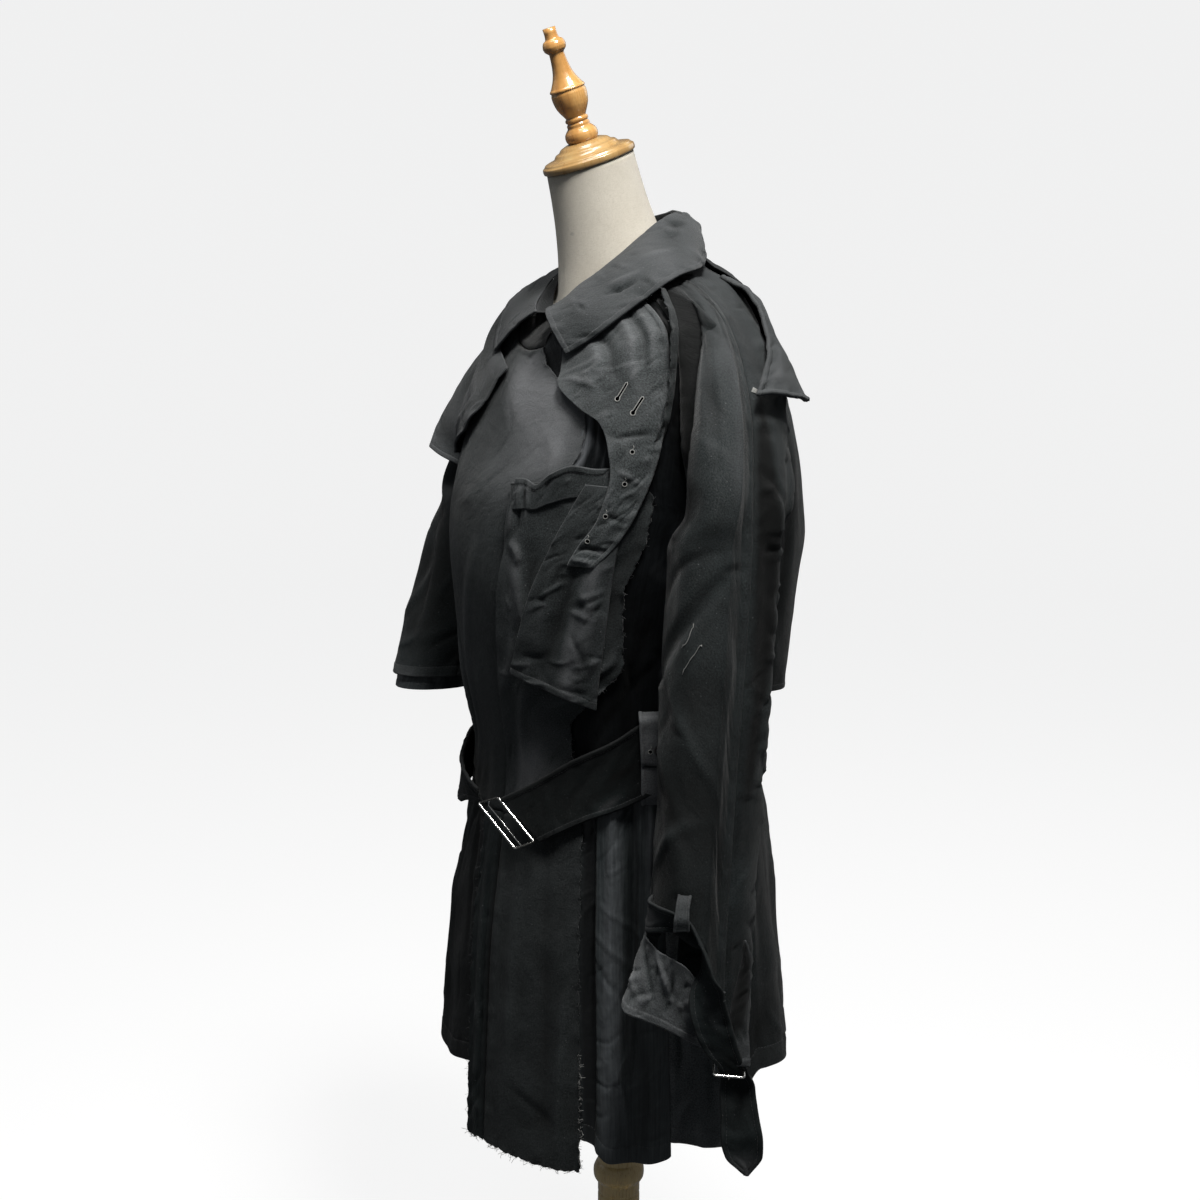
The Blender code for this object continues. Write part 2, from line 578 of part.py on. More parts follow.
POCKET_ROWS = [
    (9.6, 0.856, 40.0, 0.864),
    (11.8, 0.950, 41.0, 0.948),
    (13.5, 1.000, 50.0, 0.985),
    (15.0, 1.045, 60.0, 1.030),
    (17.0, 1.100, 60.0, 1.100),
    (20.0, 1.160, 65.5, 1.160),
    (20.0, 1.222, 67.0, 1.212),
    (19.0, 1.238, 53.0, 1.238),
]
panel(
    "pocket_piece",
    patch(
        POCKET_ROWS, 9, lift=lambda u, v: 0.0056 - 0.0020 * np.clip(1 - 12 * v, 0, 1),
        bottom=lambda t: waist(t) + 0.0003, steps=14,
    ),
)
BAND_ROWS = [(18.0, 1.210, 51.0, 1.222), (18.0, 1.252, 52.0, 1.250)]
panel("pocket_band", patch(BAND_ROWS, 7, lift=lambda u, v: 0.0078 + 0.004 * v * u * (1 - u) * 4, steps=3))
PLACKET_ROWS = [
    (17.0, 1.014, 47.5, 0.986),
    (25.0, 1.085, 51.5, 1.080),
    (33.0, 1.155, 55.0, 1.165),
    (41.0, 1.222, 57.0, 1.210),
]
panel("placket_piece", patch(PLACKET_ROWS, 6, lift=lambda u, v: 0.0101 + 0.0065 * (1 - v), steps=8))
BUTTONHOLE_ROWS = [
    (42.5, 1.138, 50.5, 1.140),
    (44.5, 1.160, 57.0, 1.165),
    (49.0, 1.195, 62.0, 1.195),
    (52.0, 1.236, 66.0, 1.230),
    (50.5, 1.270, 68.5, 1.262),
    (46.5, 1.305, 70.0, 1.295),
    (38.0, 1.335, 70.5, 1.335),
    (24.0, 1.388, 69.5, 1.375),
    (24.0, 1.415, 67.0, 1.405),
    (25.0, 1.440, 62.0, 1.440),
]


def buttonhole_lift(u, v):
    return 0.0153 - 0.0088 * np.clip((v - 0.42) / 0.4, 0, 1) - 0.0040 * u**3 * np.clip(v * 2, 0, 1)


panel("buttonhole_piece", patch(BUTTONHOLE_ROWS, 7, lift=buttonhole_lift, steps=15))

# ---- The collar: a stand inside, a fold ring, and the leaf that falls over the shoulders ----

COLLAR = Table(
    "place fold_x fold_y fold_z edge_turn edge_level edge_lift neck_turn",
    [
        (0.00, 0.000, 0.068, 1.512, 180.0, 1.4520, 0.012, 180.0),
        (0.25, 0.046, 0.054, 1.503, 146.0, 1.4500, 0.012, 140.0),
        (0.50, 0.072, 0.012, 1.478, 106.0, 1.4360, 0.012, 98.0),
        (0.75, 0.070, -0.045, 1.440, 68.0, 1.4200, 0.012, 56.0),
        (0.90, 0.044, -0.083, 1.412, 44.0, 1.4120, 0.012, 30.0),
        (1.00, 0.014, -0.101, 1.400, 29.0, 1.4100, 0.012, 8.0),
    ],
)


def collar(place, drop, lift=0.0):
    """The leaf: place -1 to 1 is round the neck, drop 0 the fold and 1 the outer edge."""
    place, drop = np.broadcast_arrays(np.asarray(place, float), np.asarray(drop, float))
    c = COLLAR(np.abs(place))
    side = np.stack([np.where(place < 0, -1.0, 1.0), np.ones_like(place), np.ones_like(place)], -1)
    fold = np.stack([c["fold_x"], c["fold_y"], c["fold_z"]], -1)
    hug = np.where(place < 0, np.clip(-place / 0.5, 0, 1), 0.0)  # the right leaf lies closer
    edge = body(c["edge_turn"], c["edge_level"], c["edge_lift"] - 0.0030 * hug)
    line = fold + (edge - fold) * drop[..., None]
    level_out = np.stack([c["fold_x"], c["fold_y"] + 0.02, 0 * place + 0.06], -1)
    swell = unit(level_out) * ((0.009 - 0.0060 * hug) * np.sin(math.pi * drop) ** 0.8)[..., None]
    return (line + swell + unit(level_out) * lift) * side


def stand(place, rise):
    place, rise = np.broadcast_arrays(np.asarray(place, float), np.asarray(rise, float))
    c = COLLAR(np.abs(place))
    side = np.stack([np.where(place < 0, -1.0, 1.0), np.ones_like(place), np.ones_like(place)], -1)
    fold = np.stack([c["fold_x"], c["fold_y"], c["fold_z"]], -1)
    inward = unit(np.stack([c["fold_x"], c["fold_y"] + 0.02, 0 * place + 0.02], -1))
    neck = body(c["neck_turn"], 1.460 + 0 * place, 0.0)
    neck[..., 2] += 0.0024
    return (neck + (fold - inward * 0.0021 - neck) * rise[..., None]) * side


places = np.linspace(-1, 1, 25)[None, :]
panel("collar_leaf", collar(places, np.linspace(0, 1, 5)[:, None]))
panel("collar_stand", stand(places, np.linspace(0, 1, 3)[:, None]))

# ---- The sleeves: raglan, in two halves; the right one is cut short at the elbow ----

LOW, HIGH = 0.008, 0.985
RIGHT_SWING = 0.24  # how far the right sleeve hangs forward, for each metre down
LINING_SHARE = 0.885  # of the sleeve round it


def half_sleeve(half, last, creases, swing=0.0):
    rows = SLEEVE_ROWS[SLEEVE_ROWS < last - 0.2]
    rows = np.concatenate([[0.06], rows[1:], [last]])
    across, rows = np.meshgrid(np.linspace(LOW, HIGH, 9), rows)
    return sleeve(half, across, rows, creases, swing)


panel("sleeve_left_front", half_sleeve("front", 12.05, LEFT_CREASES))
panel("sleeve_left_back", half_sleeve("back", 13.6, LEFT_CREASES))
panel("sleeve_right_front", mirrored(half_sleeve("front", 10.3, RIGHT_CREASES, RIGHT_SWING)))
panel("sleeve_right_back", mirrored(half_sleeve("back", 10.3, RIGHT_CREASES, RIGHT_SWING)))

# The lining of the cut sleeve hangs a little below its hem.
rows, around = np.meshgrid([8.6, 9.3, 10.0, 10.47], np.linspace(0.03, 1.97, 15), indexing="ij")
tube = np.where(
    (around < 1)[..., None],
    sleeve("front", np.clip(around, 0, 1), rows, RIGHT_CREASES, RIGHT_SWING),
    sleeve("back", np.clip(2 - around, 0, 1), rows, RIGHT_CREASES, RIGHT_SWING),
)
axis = (tube.max(axis=1, keepdims=True) + tube.min(axis=1, keepdims=True)) / 2
axis = axis * [1, 1, 0] + tube * [0, 0, 1]
panel("sleeve_right_lining", mirrored(axis + (tube - axis) * LINING_SHARE))

# ---- Shoulder pieces: the epaulettes, the back's storm cape and the right front's storm flap ----


def lifted(grid, lift, away_from):
    """A grid moved along its normals, on the side that faces away from a point."""
    normals = grid_normals(grid)
    side = np.sign(np.sum(normals * (grid - np.array(away_from))))
    return grid + normals * side * np.asarray(lift)[..., None]


across, row = np.meshgrid(np.linspace(0.10, 0.62, 6), np.linspace(1.65, 4.5, 9))
epaulette = lifted(
    sleeve("back", across, row, []),
    0.0021 + 0.0049 * np.clip((row - 1.65) / 0.8, 0, 1) + 0.010 * (row / 4.5) ** 3,
    (0.1, 0, 1.2),
)
panel("epaulette_left", epaulette, 0.003)
panel("epaulette_right", mirrored(epaulette), 0.003)

CAPE = Table(
    "level edge hang",
    [(0.985, 113.0, 0.031), (1.060, 113.0, 0.034), (1.150, 113.0, 0.034), (1.210, 113.0, 0.031),
     (1.275, 115.0, 0.022), (1.320, 121.0, 0.016), (1.372, 128.0, 0.0115), (1.410, 134.0, 0.0095),
     (1.446, 141.0, 0.0080)],
)
levels = np.array([0.985, 1.04, 1.10, 1.16, 1.22, 1.27, 1.32, 1.36, 1.405, 1.446])[:, None]
u = np.linspace(0, 1, 12)[None, :]
cape = CAPE(levels + 0 * u)
turn = cape["edge"] + (360 - 2 * cape["edge"]) * u
free = np.clip(np.minimum(turn - cape["edge"], 360 - cape["edge"] - turn) / 20, 0, 1)
free = free * free * (3 - 2 * free)
panel("back_cape", body(turn, levels + 0 * u, 0.0065 + (cape["hang"] - 0.0065) * free))

FLAP = Table(
    "key inner_turn inner_level row outer",
    [(0.0, 13.0, 1.4080, 1.7, 0.03), (0.25, 13.5, 1.3850, 2.4, 0.05), (0.5, 14.5, 1.3500, 3.3, 0.08),
     (0.8, 21.0, 1.3050, 4.8, 0.20), (1.0, 40.0, 1.2420, 6.5, 0.42)],
)
v, u = np.meshgrid(np.linspace(0, 1, 10), np.linspace(0, 1, 9), indexing="ij")
flap = FLAP(v)
seam = SLEEVE(flap["row"])
part = np.clip(u / 0.5, 0, 1)
on_chest = body(
    flap["inner_turn"] + (seam["front_turn"] - flap["inner_turn"]) * part,
    flap["inner_level"] + (seam["front_level"] - flap["inner_level"]) * part,
)
part = np.clip((u - 0.5) / 0.5, 0, 1)
on_arm = sleeve("front", 1 + (flap["outer"] - 1) * part, flap["row"], [], RIGHT_SWING)
under = np.where((u <= 0.5)[..., None], on_chest, on_arm)
for _ in range(3):
    under[:, 1:-1] = (under[:, :-2] + 2 * under[:, 1:-1] + under[:, 2:]) / 4
flap_lift = 0.0052 + 0.0065 * np.sin(math.pi * u) + 0.006 * np.clip(v * 1.6, 0, 1) + 0.022 * np.clip(v - 0.55, 0, 1) * 2.2 * u
panel("storm_flap_right", mirrored(lifted(under, flap_lift, (0.1, 0.1, 1.2))))

# ---- The belt, its buckle and its two loops ----

BELT = Table(
    "turn low high low_lift high_lift lag",
    [
        (29, 0.827, 0.866, 0.0085, 0.0220, 14),
        (36, 0.840, 0.892, 0.0100, 0.0135, 9),
        (45, 0.856, 0.921, 0.0100, 0.0110, 5),
        (57, 0.872, 0.950, 0.0096, 0.0096, 0),
        (70, 0.890, 0.974, 0.0093, 0.0093, 0),
        (90, 0.900, 0.980, 0.0090, 0.0090, 0),
        (130, 0.898, 0.972, 0.0090, 0.0090, 0),
        (180, 0.892, 0.964, 0.0090, 0.0090, 0),
        (230, 0.882, 0.953, 0.0090, 0.0090, 0),
        (270, 0.862, 0.936, 0.0090, 0.0090, 0),
        (292, 0.850, 0.922, 0.0095, 0.0095, 0),
        (312, 0.839, 0.907, 0.0125, 0.0120, 0),
        (330, 0.833, 0.895, 0.0200, 0.0200, 0),
        (345, 0.835, 0.888, 0.0290, 0.0300, 0),
        (360, 0.840, 0.880, 0.0350, 0.0370, 0),
        (371, 0.850, 0.872, 0.0400, 0.0420, 0),
    ],
)
turn = np.concatenate([[29, 33, 38, 45, 51], np.linspace(57, 292, 23), [302, 312, 321, 330, 340, 350, 360, 371]])
band = BELT(turn)
u = np.linspace(0, 1, 3)[:, None]
belt = body(
    turn - band["lag"] * u,
    band["low"] + (band["high"] - band["low"]) * u,
    band["low_lift"] + (band["high_lift"] - band["low_lift"]) * u,
)
panel("belt", belt, 0.0022)
frame(
    "belt_buckle", (0.0804, -0.1891, 0.8489), (-0.0116, 0.0300, 0.0), (0.048, 0.024, -0.041),
    (0.034, 0.070), 0.0042, 0.004,
)


def belt_loop(name, middle, level, side, top, foot):
    height = np.array([0.056, 0.051, 0.046, 0.020, -0.014, -0.050, -0.055, -0.060])[:, None]
    lift = np.array([top, 0.0070, 0.0124, 0.0125, 0.0125, 0.0124, 0.0080, foot])[:, None]
    turn = middle + np.array([-3.4, 0.0, 3.4])[None, :]
    grid = body(turn + 0 * height, level + height + 0 * turn, lift + 0 * turn)
    panel(name, grid if side > 0 else mirrored(grid))
    at = body(middle + 0.8, level + 0.004, 0.0143)
    out = unit(body(middle + 0.8, level + 0.004, 0.02) - at)
    place = np.array([side, 1.0, 1.0])
    profile = [(0.0066, 0.0), (0.0076, 0.0008), (0.0076, 0.0020), (0.0066, 0.0028), (0.0040, 0.0024)]
    lathe(name.replace("loop", "button"), profile, 10, at * place, out * place)


belt_loop("belt_loop_left", 70.0, 0.936, 1, 0.0032, 0.0032)
belt_loop("belt_loop_right", 70.0, 0.889, -1, 0.0021, 0.0036)

# ---- The left cuff: the flared cuff piece, the strap through its keeper, and the buckle ----

CUFF_TOP = [
    (0.2235, -0.078, 0.7650), (0.2380, -0.104, 0.7620), (0.2580, -0.1166, 0.7600),
    (0.2700, -0.1140, 0.7450), (0.2860, -0.1070, 0.7350), (0.2990, -0.0970, 0.7250),
    (0.3080, -0.0800, 0.7150), (0.3135, -0.0551, 0.7080),
]
CUFF_FOOT = [
    (0.2210, -0.085, 0.7000), (0.2350, -0.122, 0.6950), (0.2620, -0.1453, 0.6884),
    (0.2760, -0.1300, 0.6800), (0.2900, -0.1120, 0.6720), (0.3040, -0.0830, 0.6540),
    (0.3100, -0.0720, 0.6520), (0.3142, -0.0582, 0.6515),
]
share = np.linspace(0, 1, 6)[:, None, None]
cuff = np.array(CUFF_TOP)[None] * (1 - share) + np.array(CUFF_FOOT)[None] * share
panel("cuff_left", cuff)

FACING_VIEW = (0.5, 0.866, 0.0)  # the direction of the hanging strap's width
STRAP = [
    ((0.2357, -0.0997, 0.7840), (0, 0, 1), 0.026),
    ((0.2505, -0.1128, 0.7850), (0, 0, 1), STRAP_WIDTH),
    ((0.2700, -0.1200, 0.7860), (0, 0, 1), STRAP_WIDTH),
    ((0.2930, -0.1105, 0.7850), (0.1, 0, 1), STRAP_WIDTH),
    ((0.3150, -0.1040, 0.7800), (0.45, 0.2, 0.85), STRAP_WIDTH),
    ((0.3250, -0.0980, 0.7580), (0.5, 0.6, 0.55), STRAP_WIDTH),
    ((0.3300, -0.0910, 0.7180), (0.5, 0.85, 0.30), STRAP_WIDTH),
    ((0.3330, -0.0790, 0.6740), (0.5, 0.866, 0.15), STRAP_WIDTH),
    ((0.3350, -0.0590, 0.6360), FACING_VIEW, STRAP_WIDTH),
    ((0.3350, -0.0460, 0.6000), FACING_VIEW, STRAP_WIDTH),
    ((0.3300, -0.0398, 0.5600), FACING_VIEW, STRAP_WIDTH),
    ((0.3270, -0.0350, 0.5270), FACING_VIEW, 0.034),
    ((0.3250, -0.0318, 0.5053), FACING_VIEW, 0.003),
]
middle, directions, widths = zip(*STRAP)
ribbon("cuff_strap_left", middle, directions, widths, 34, 0.0022)
ribbon(
    "cuff_keeper_left",
    [(0.2970, -0.1010, 0.8260), (0.2985, -0.1080, 0.8180), (0.2990, -0.1140, 0.8080),
     (0.2990, -0.1150, 0.7900), (0.3000, -0.1150, 0.7760)],
    [(0.66, 0.75, 0.0)] * 5, [0.011] * 5, 9,
)
to_body = np.array([-0.866, 0.5, 0.0])
frame(
    "cuff_buckle_left", np.array([0.3350, -0.0590, 0.6360]) + to_body * 0.0037, to_body, FACING_VIEW,
    (0.034, 0.047), 0.0032, 0.0,
)

bpy.context.view_layer.update()
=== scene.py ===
"""A cut-away black trench coat on a limbless dress form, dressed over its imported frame.

The form stands at the origin. +Z is up, the coat's front faces -Y and the wearer's left is +X.
"""

import math

import bpy
import numpy as np
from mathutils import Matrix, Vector
from mathutils.bvhtree import BVHTree


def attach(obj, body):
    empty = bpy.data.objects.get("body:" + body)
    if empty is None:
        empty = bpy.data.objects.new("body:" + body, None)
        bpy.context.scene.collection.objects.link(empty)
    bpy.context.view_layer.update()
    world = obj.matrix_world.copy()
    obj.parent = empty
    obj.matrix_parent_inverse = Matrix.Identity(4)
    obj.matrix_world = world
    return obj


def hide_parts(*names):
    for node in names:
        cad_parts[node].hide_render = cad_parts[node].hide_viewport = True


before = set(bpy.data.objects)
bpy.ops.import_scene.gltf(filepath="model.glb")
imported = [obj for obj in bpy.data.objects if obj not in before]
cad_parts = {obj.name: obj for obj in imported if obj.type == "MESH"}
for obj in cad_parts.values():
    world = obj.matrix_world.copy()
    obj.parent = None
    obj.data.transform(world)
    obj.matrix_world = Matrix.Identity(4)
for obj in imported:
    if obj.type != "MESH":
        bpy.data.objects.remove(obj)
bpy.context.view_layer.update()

# ---- The studio ----
# A pale floor that curves up into a pale wall all round, a small soft light high over the wearer's
# left, weaker ones above and behind, and the camera at chest height to the wearer's left.

scene = bpy.context.scene
scene.view_settings.view_transform = "Standard"

camera = bpy.data.objects.new("camera", bpy.data.cameras.new("camera"))
scene.collection.objects.link(camera)
CAMERA_AWAY, CAMERA_HEIGHT, CAMERA_ROUND, CAMERA_DIP = 2.1, 1.42, math.radians(60.0), math.radians(9.5)
CAMERA_TURN = math.radians(0.6255)  # a little to the left of the pole
camera.location = (CAMERA_AWAY * math.sin(CAMERA_ROUND), -CAMERA_AWAY * math.cos(CAMERA_ROUND),
                   CAMERA_HEIGHT)
camera.rotation_euler = (math.pi / 2 - CAMERA_DIP, 0.0, CAMERA_ROUND + CAMERA_TURN)
camera.data.sensor_width, camera.data.lens = 36.0, 54.96
scene.camera = camera


def lamp(name, place, towards, size, power, colour):
    """A square soft light that faces a point."""
    light = bpy.data.lights.new(name, "AREA")
    light.size, light.energy, light.color = size, power, colour
    made = bpy.data.objects.new(name, light)
    scene.collection.objects.link(made)
    aim = np.array(place, float) - np.array(towards, float)
    made.location = place
    made.rotation_euler = (math.atan2(math.hypot(aim[0], aim[1]), aim[2]), 0.0,
                           math.atan2(aim[0], -aim[1]))


lamp("key_light", (0.95, -0.18, 2.9), (0.05, -0.02, 1.1), 0.5, 66.0, (1.0, 0.985, 0.96))
lamp("top_light", (0.1, -0.6, 3.1), (0.05, -0.02, 1.1), 0.6, 15.0, (1.0, 0.99, 0.97))
lamp("fill_light", (-2.2, -2.6, 2.4), (0.05, 0.0, 1.0), 2.4, 4.0, (0.9, 0.95, 1.0))
lamp("back_light", (-0.9, 2.9, 3.0), (0.05, 0.0, 1.1), 2.0, 12.0, (1.0, 1.0, 1.0))

world = bpy.data.worlds.new("world")
world.use_nodes = True
world.node_tree.nodes["Background"].inputs["Color"].default_value = (0.9, 0.95, 1.0, 1.0)
world.node_tree.nodes["Background"].inputs["Strength"].default_value = 0.11
scene.world = world


def between(first, last, share):
    return first + (last - first) * share


def mesh_object(name, points, edges, faces):
    mesh = bpy.data.meshes.new(name)
    mesh.from_pydata(np.asarray(points).tolist(), edges, faces)
    made = bpy.data.objects.new(name, mesh)
    scene.collection.objects.link(made)
    return made


def ring_faces(rows, around, wrap=False):
    """The faces between rings of points; wrap joins the last ring to the first."""
    return [
        (
            r * around + c, r * around + (c + 1) % around, (r + 1) % rows * around + (c + 1) % around,
            (r + 1) % rows * around + c,
        )
        for r in range(rows if wrap else rows - 1) for c in range(around)
    ]


FLOOR_REACH, WALL_CURVE, WALL_TOP, STUDIO_SEGMENTS = 7.0, 2.5, 9.0, 96
bend = np.linspace(0.0, math.pi / 2, 13)
studio_radius = np.concatenate(
    [[0.0, 0.5, 2.0], FLOOR_REACH + WALL_CURVE * np.sin(bend), [FLOOR_REACH + WALL_CURVE, 0.0]]
)
studio_height = np.concatenate(
    [[0.0, 0.0, 0.0], WALL_CURVE * (1 - np.cos(bend)), [WALL_TOP, WALL_TOP + 2.0]]
)
angle = np.linspace(0.0, 2 * math.pi, STUDIO_SEGMENTS, endpoint=False)
studio_points = np.stack(
    [
        np.outer(studio_radius, np.cos(angle)), np.outer(studio_radius, np.sin(angle)),
        np.outer(studio_height, np.ones(STUDIO_SEGMENTS)),
    ],
    -1,
).reshape(-1, 3)
studio = mesh_object("studio", studio_points, [], ring_faces(len(studio_radius), STUDIO_SEGMENTS))
studio.data.shade_smooth()
studio.visible_diffuse = studio.visible_glossy = studio.visible_transmission = False
studio.visible_shadow = False


class Value:
    """One output of a node, so that shader maths is written as arithmetic."""

    def __init__(self, paint, socket):
        self.paint, self.socket = paint, socket

    def math(self, operation, *others):
        sockets = {i: value for i, value in enumerate(others)}
        return self.paint.node("Math", {"operation": operation}, sockets)

    def __add__(self, other):
        return self.math("ADD", self, other)

    def __sub__(self, other):
        return self.math("SUBTRACT", self, other)

    def __rsub__(self, other):
        return self.math("SUBTRACT", other, self)

    def __mul__(self, other):
        return self.math("MULTIPLY", self, other)

    def __pow__(self, other):
        return self.math("POWER", self, other)

    __radd__, __rmul__ = __add__, __mul__

    def sine(self):
        return self.math("SINE", self)

    def clipped(self):
        return self.math("MINIMUM", self.math("MAXIMUM", self, 0.0), 1.0)


class Paint:
    """A material under its maker's name, with one way to add any node."""

    def __init__(self, name, colour, roughness, **constants):
        self.material = bpy.data.materials.new(name)
        self.material.use_nodes = True
        self.tree = self.material.node_tree
        self.shader = self.tree.nodes["Principled BSDF"]
        self.material.diffuse_color = (*colour, 1.0)
        self.shader.inputs["Base Color"].default_value = (*colour, 1.0)
        self.shader.inputs["Roughness"].default_value = roughness
        for socket, value in constants.items():
            self.shader.inputs[socket.replace("_", " ")].default_value = value

    def node(self, kind, settings=None, sockets=None, out=0):
        node = self.tree.nodes.new("ShaderNode" + kind)
        for setting, value in (settings or {}).items():
            if setting == "stops":
                while len(node.color_ramp.elements) < len(value):
                    node.color_ramp.elements.new(0.5)
                for element, (place, colour) in zip(node.color_ramp.elements, value):
                    element.position, element.color = place, (*colour, 1.0)
            else:
                setattr(node, setting, value)
        for socket, value in (sockets or {}).items():
            if isinstance(value, Value):
                self.tree.links.new(value.socket, node.inputs[socket])
            else:
                node.inputs[socket].default_value = value
        return Value(self, node.outputs[out])

    def blend(self, factor, first, second):
        colours = [v if isinstance(v, Value) else (*v, 1.0) for v in (first, second)]
        settings = {"data_type": "RGBA", "clamp_factor": True}
        return self.node("Mix", settings, {0: factor, 6: colours[0], 7: colours[1]}, out=2)

    def noise(self, place, scale, detail=3.0, roughness=0.5, distortion=0.0):
        sockets = {"Vector": place, "Scale": scale, "Detail": detail, "Roughness": roughness,
                   "Distortion": distortion}
        return self.node("TexNoise", None, sockets)

    def place(self, out, scale=(1.0, 1.0, 1.0), turn=(0.0, 0.0, 0.0), centre=(0.0, 0.0, 0.0)):
        """Coordinates: out is Object or UV, stretched and turned about a centre."""
        at = self.node("TexCoord", None, None, out)
        return self.node(
            "Mapping", {"vector_type": "TEXTURE"},
            {"Vector": at, "Location": centre, "Rotation": turn, "Scale": tuple(1.0 / s for s in scale)},
        )

    def channels(self, vector):
        split = self.node("SeparateXYZ", None, {"Vector": vector})
        node = split.socket.node
        return [Value(self, socket) for socket in node.outputs]

    def mark(self, name):
        return self.node("Attribute", {"attribute_name": name}, None, "Fac")

    def bump(self, height, distance, strength=1.0, over=None):
        sockets = {"Height": height, "Distance": distance, "Strength": strength}
        if over is not None:
            sockets["Normal"] = over
        return self.node("Bump", None, sockets)

    def feed(self, **sockets):
        for socket, value in sockets.items():
            self.tree.links.new(value.socket, self.shader.inputs[socket.replace("_", " ")])


studio_paint = Paint("studio white", (0.25, 0.25, 0.25), 1.0, Specular_IOR_Level=0.0,
                     Emission_Color=(1.0, 1.0, 1.0, 1.0), Emission_Strength=0.84)
studio.data.materials.append(studio_paint.material)

# ---- The stand: base, pole, and the cap with its finial ----
# Turned beech under a honey varnish. The pole is dowelled into the round base and carries the
# form; the cap sits on the neck, and its finial is screwed down through it, leaning forward.


def spin(name, profile, segments, origin=(0.0, 0.0, 0.0), axis=(0.0, 0.0, 1.0)):
    """A turned solid from (radius, height) rows, with rounded corners between them."""
    rows = np.array(profile, float)
    before, after = np.roll(rows, 1, 0), np.roll(rows, -1, 0)
    soft = []
    for i, row in enumerate(rows):
        if i in (0, len(rows) - 1):
            soft.append(row)
            continue
        back, ahead = before[i] - row, after[i] - row
        cut = min(0.0016, 0.3 * np.linalg.norm(back), 0.3 * np.linalg.norm(ahead))
        start, end = row + unit(back) * cut, row + unit(ahead) * cut
        for t in (0.0, 0.33, 0.67, 1.0):
            soft.append((1 - t) ** 2 * start + 2 * t * (1 - t) * row + t * t * end)
    rows = np.array(soft)
    up = unit(np.array(axis, float))
    side = unit(np.cross(up, [0.0, 1.0, 0.0] if abs(up[1]) < 0.9 else [1.0, 0.0, 0.0]))
    other = np.cross(up, side)
    turn = np.linspace(0, 2 * math.pi, segments, endpoint=False)
    ring = side * np.cos(turn)[:, None] + other * np.sin(turn)[:, None]
    points = np.concatenate([ring * radius + up * height for radius, height in rows])
    points = np.concatenate([points, [up * rows[0, 1], up * rows[-1, 1]]])
    faces = [(a, d, c, b) for a, b, c, d in ring_faces(len(rows), segments)]
    last = (len(rows) - 1) * segments
    for c in range(segments):
        step = (c + 1) % segments
        faces += [(len(points) - 2, c, step), (len(points) - 1, last + step, last + c)]
    return piece(name, points + np.array(origin), faces)


def unit(vectors):
    return vectors / np.maximum(np.linalg.norm(vectors, axis=-1, keepdims=True), 1e-12)


def piece(name, points, faces):
    """A smooth mesh object at the origin, with its faces turned outward."""
    made = mesh_object(name, points, [], faces)
    mesh = made.data
    mesh.calc_loop_triangles()
    places = np.empty(len(mesh.vertices) * 3)
    mesh.vertices.foreach_get("co", places)
    sides = np.empty(len(mesh.loop_triangles) * 3, np.int32)
    mesh.loop_triangles.foreach_get("vertices", sides)
    corner = places.reshape(-1, 3)[sides.reshape(-1, 3)]
    if np.einsum("ij,ij->i", corner[:, 0], np.cross(corner[:, 1], corner[:, 2])).sum() < 0:
        mesh.flip_normals()
    mesh.shade_smooth()
    return made


def stand_for(made, node, paint):
    """The finished piece takes a frame node's place."""
    made.data.materials.clear()
    made.data.materials.append(paint.material)
    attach(made, "root")
    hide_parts(node)


def varnish(name, axis_lean, pale, depth):
    """Honey-varnished beech, its grain along the turning axis."""
    wood = Paint(name, (0.6, 0.33, 0.12), 0.3, Coat_Roughness=0.1, Coat_IOR=1.5)
    along = wood.place("Object", turn=(axis_lean, 0.0, 0.0), scale=(1.0, 1.0, 0.06))
    grain = wood.noise(along, 95.0, 4.0, 0.62, 0.6)
    rings = wood.noise(along, 26.0, 2.0, 0.5, 1.4)
    fleck = wood.noise(wood.place("Object", turn=(axis_lean, 0.0, 0.0), scale=(1.0, 1.0, 0.16)), 420.0, 2.0)
    tone = (rings * 0.62 + grain * 0.46 - 0.06).clipped()
    stops = [(0.3, (0.42, 0.18, 0.045)), (0.45, (0.62, 0.3, 0.08)), (0.56, (0.74, 0.4, 0.125)),
             (0.72, (0.84, 0.53, 0.21))]
    honey = wood.node(
        "ValToRGB", {"stops": [(at, tuple(c * depth for c in colour)) for at, colour in stops]},
        {"Fac": tone},
    )
    dark = ((0.46 - fleck) * 9.0).clipped() * 0.35
    bleached = wood.blend(pale, honey, tuple(c * depth for c in (0.84, 0.68, 0.33)))
    wood.feed(Base_Color=wood.blend(dark, bleached, (0.36, 0.18, 0.05)), Roughness=grain * 0.16 + 0.2,
              Coat_Weight=(grain * 0.5 + 0.45).clipped(),
              Normal=wood.bump(grain * 0.6 + fleck * 0.4, 0.00022, 0.6))
    return wood


BASE_RADIUS, BASE_HEIGHT = 0.16, 0.024
POLE_RADIUS, BEAD_RADIUS, BEAD_Z, TORSO_FOOT = 0.0255, 0.031, 0.362, 0.795
NECK_TOP, CAP_LEAN = (0.0, -0.039, 1.563), math.radians(20.0)
CAP_AXIS = (0.0, -math.sin(CAP_LEAN), math.cos(CAP_LEAN))
upright_wood = varnish("varnished beech, pole and base", 0.0, 0.7, 0.85)
cap_wood = varnish("varnished beech, cap", CAP_LEAN, 0.3, 0.46)
finial_wood = varnish("varnished beech, finial", CAP_LEAN, 0.05, 0.68)

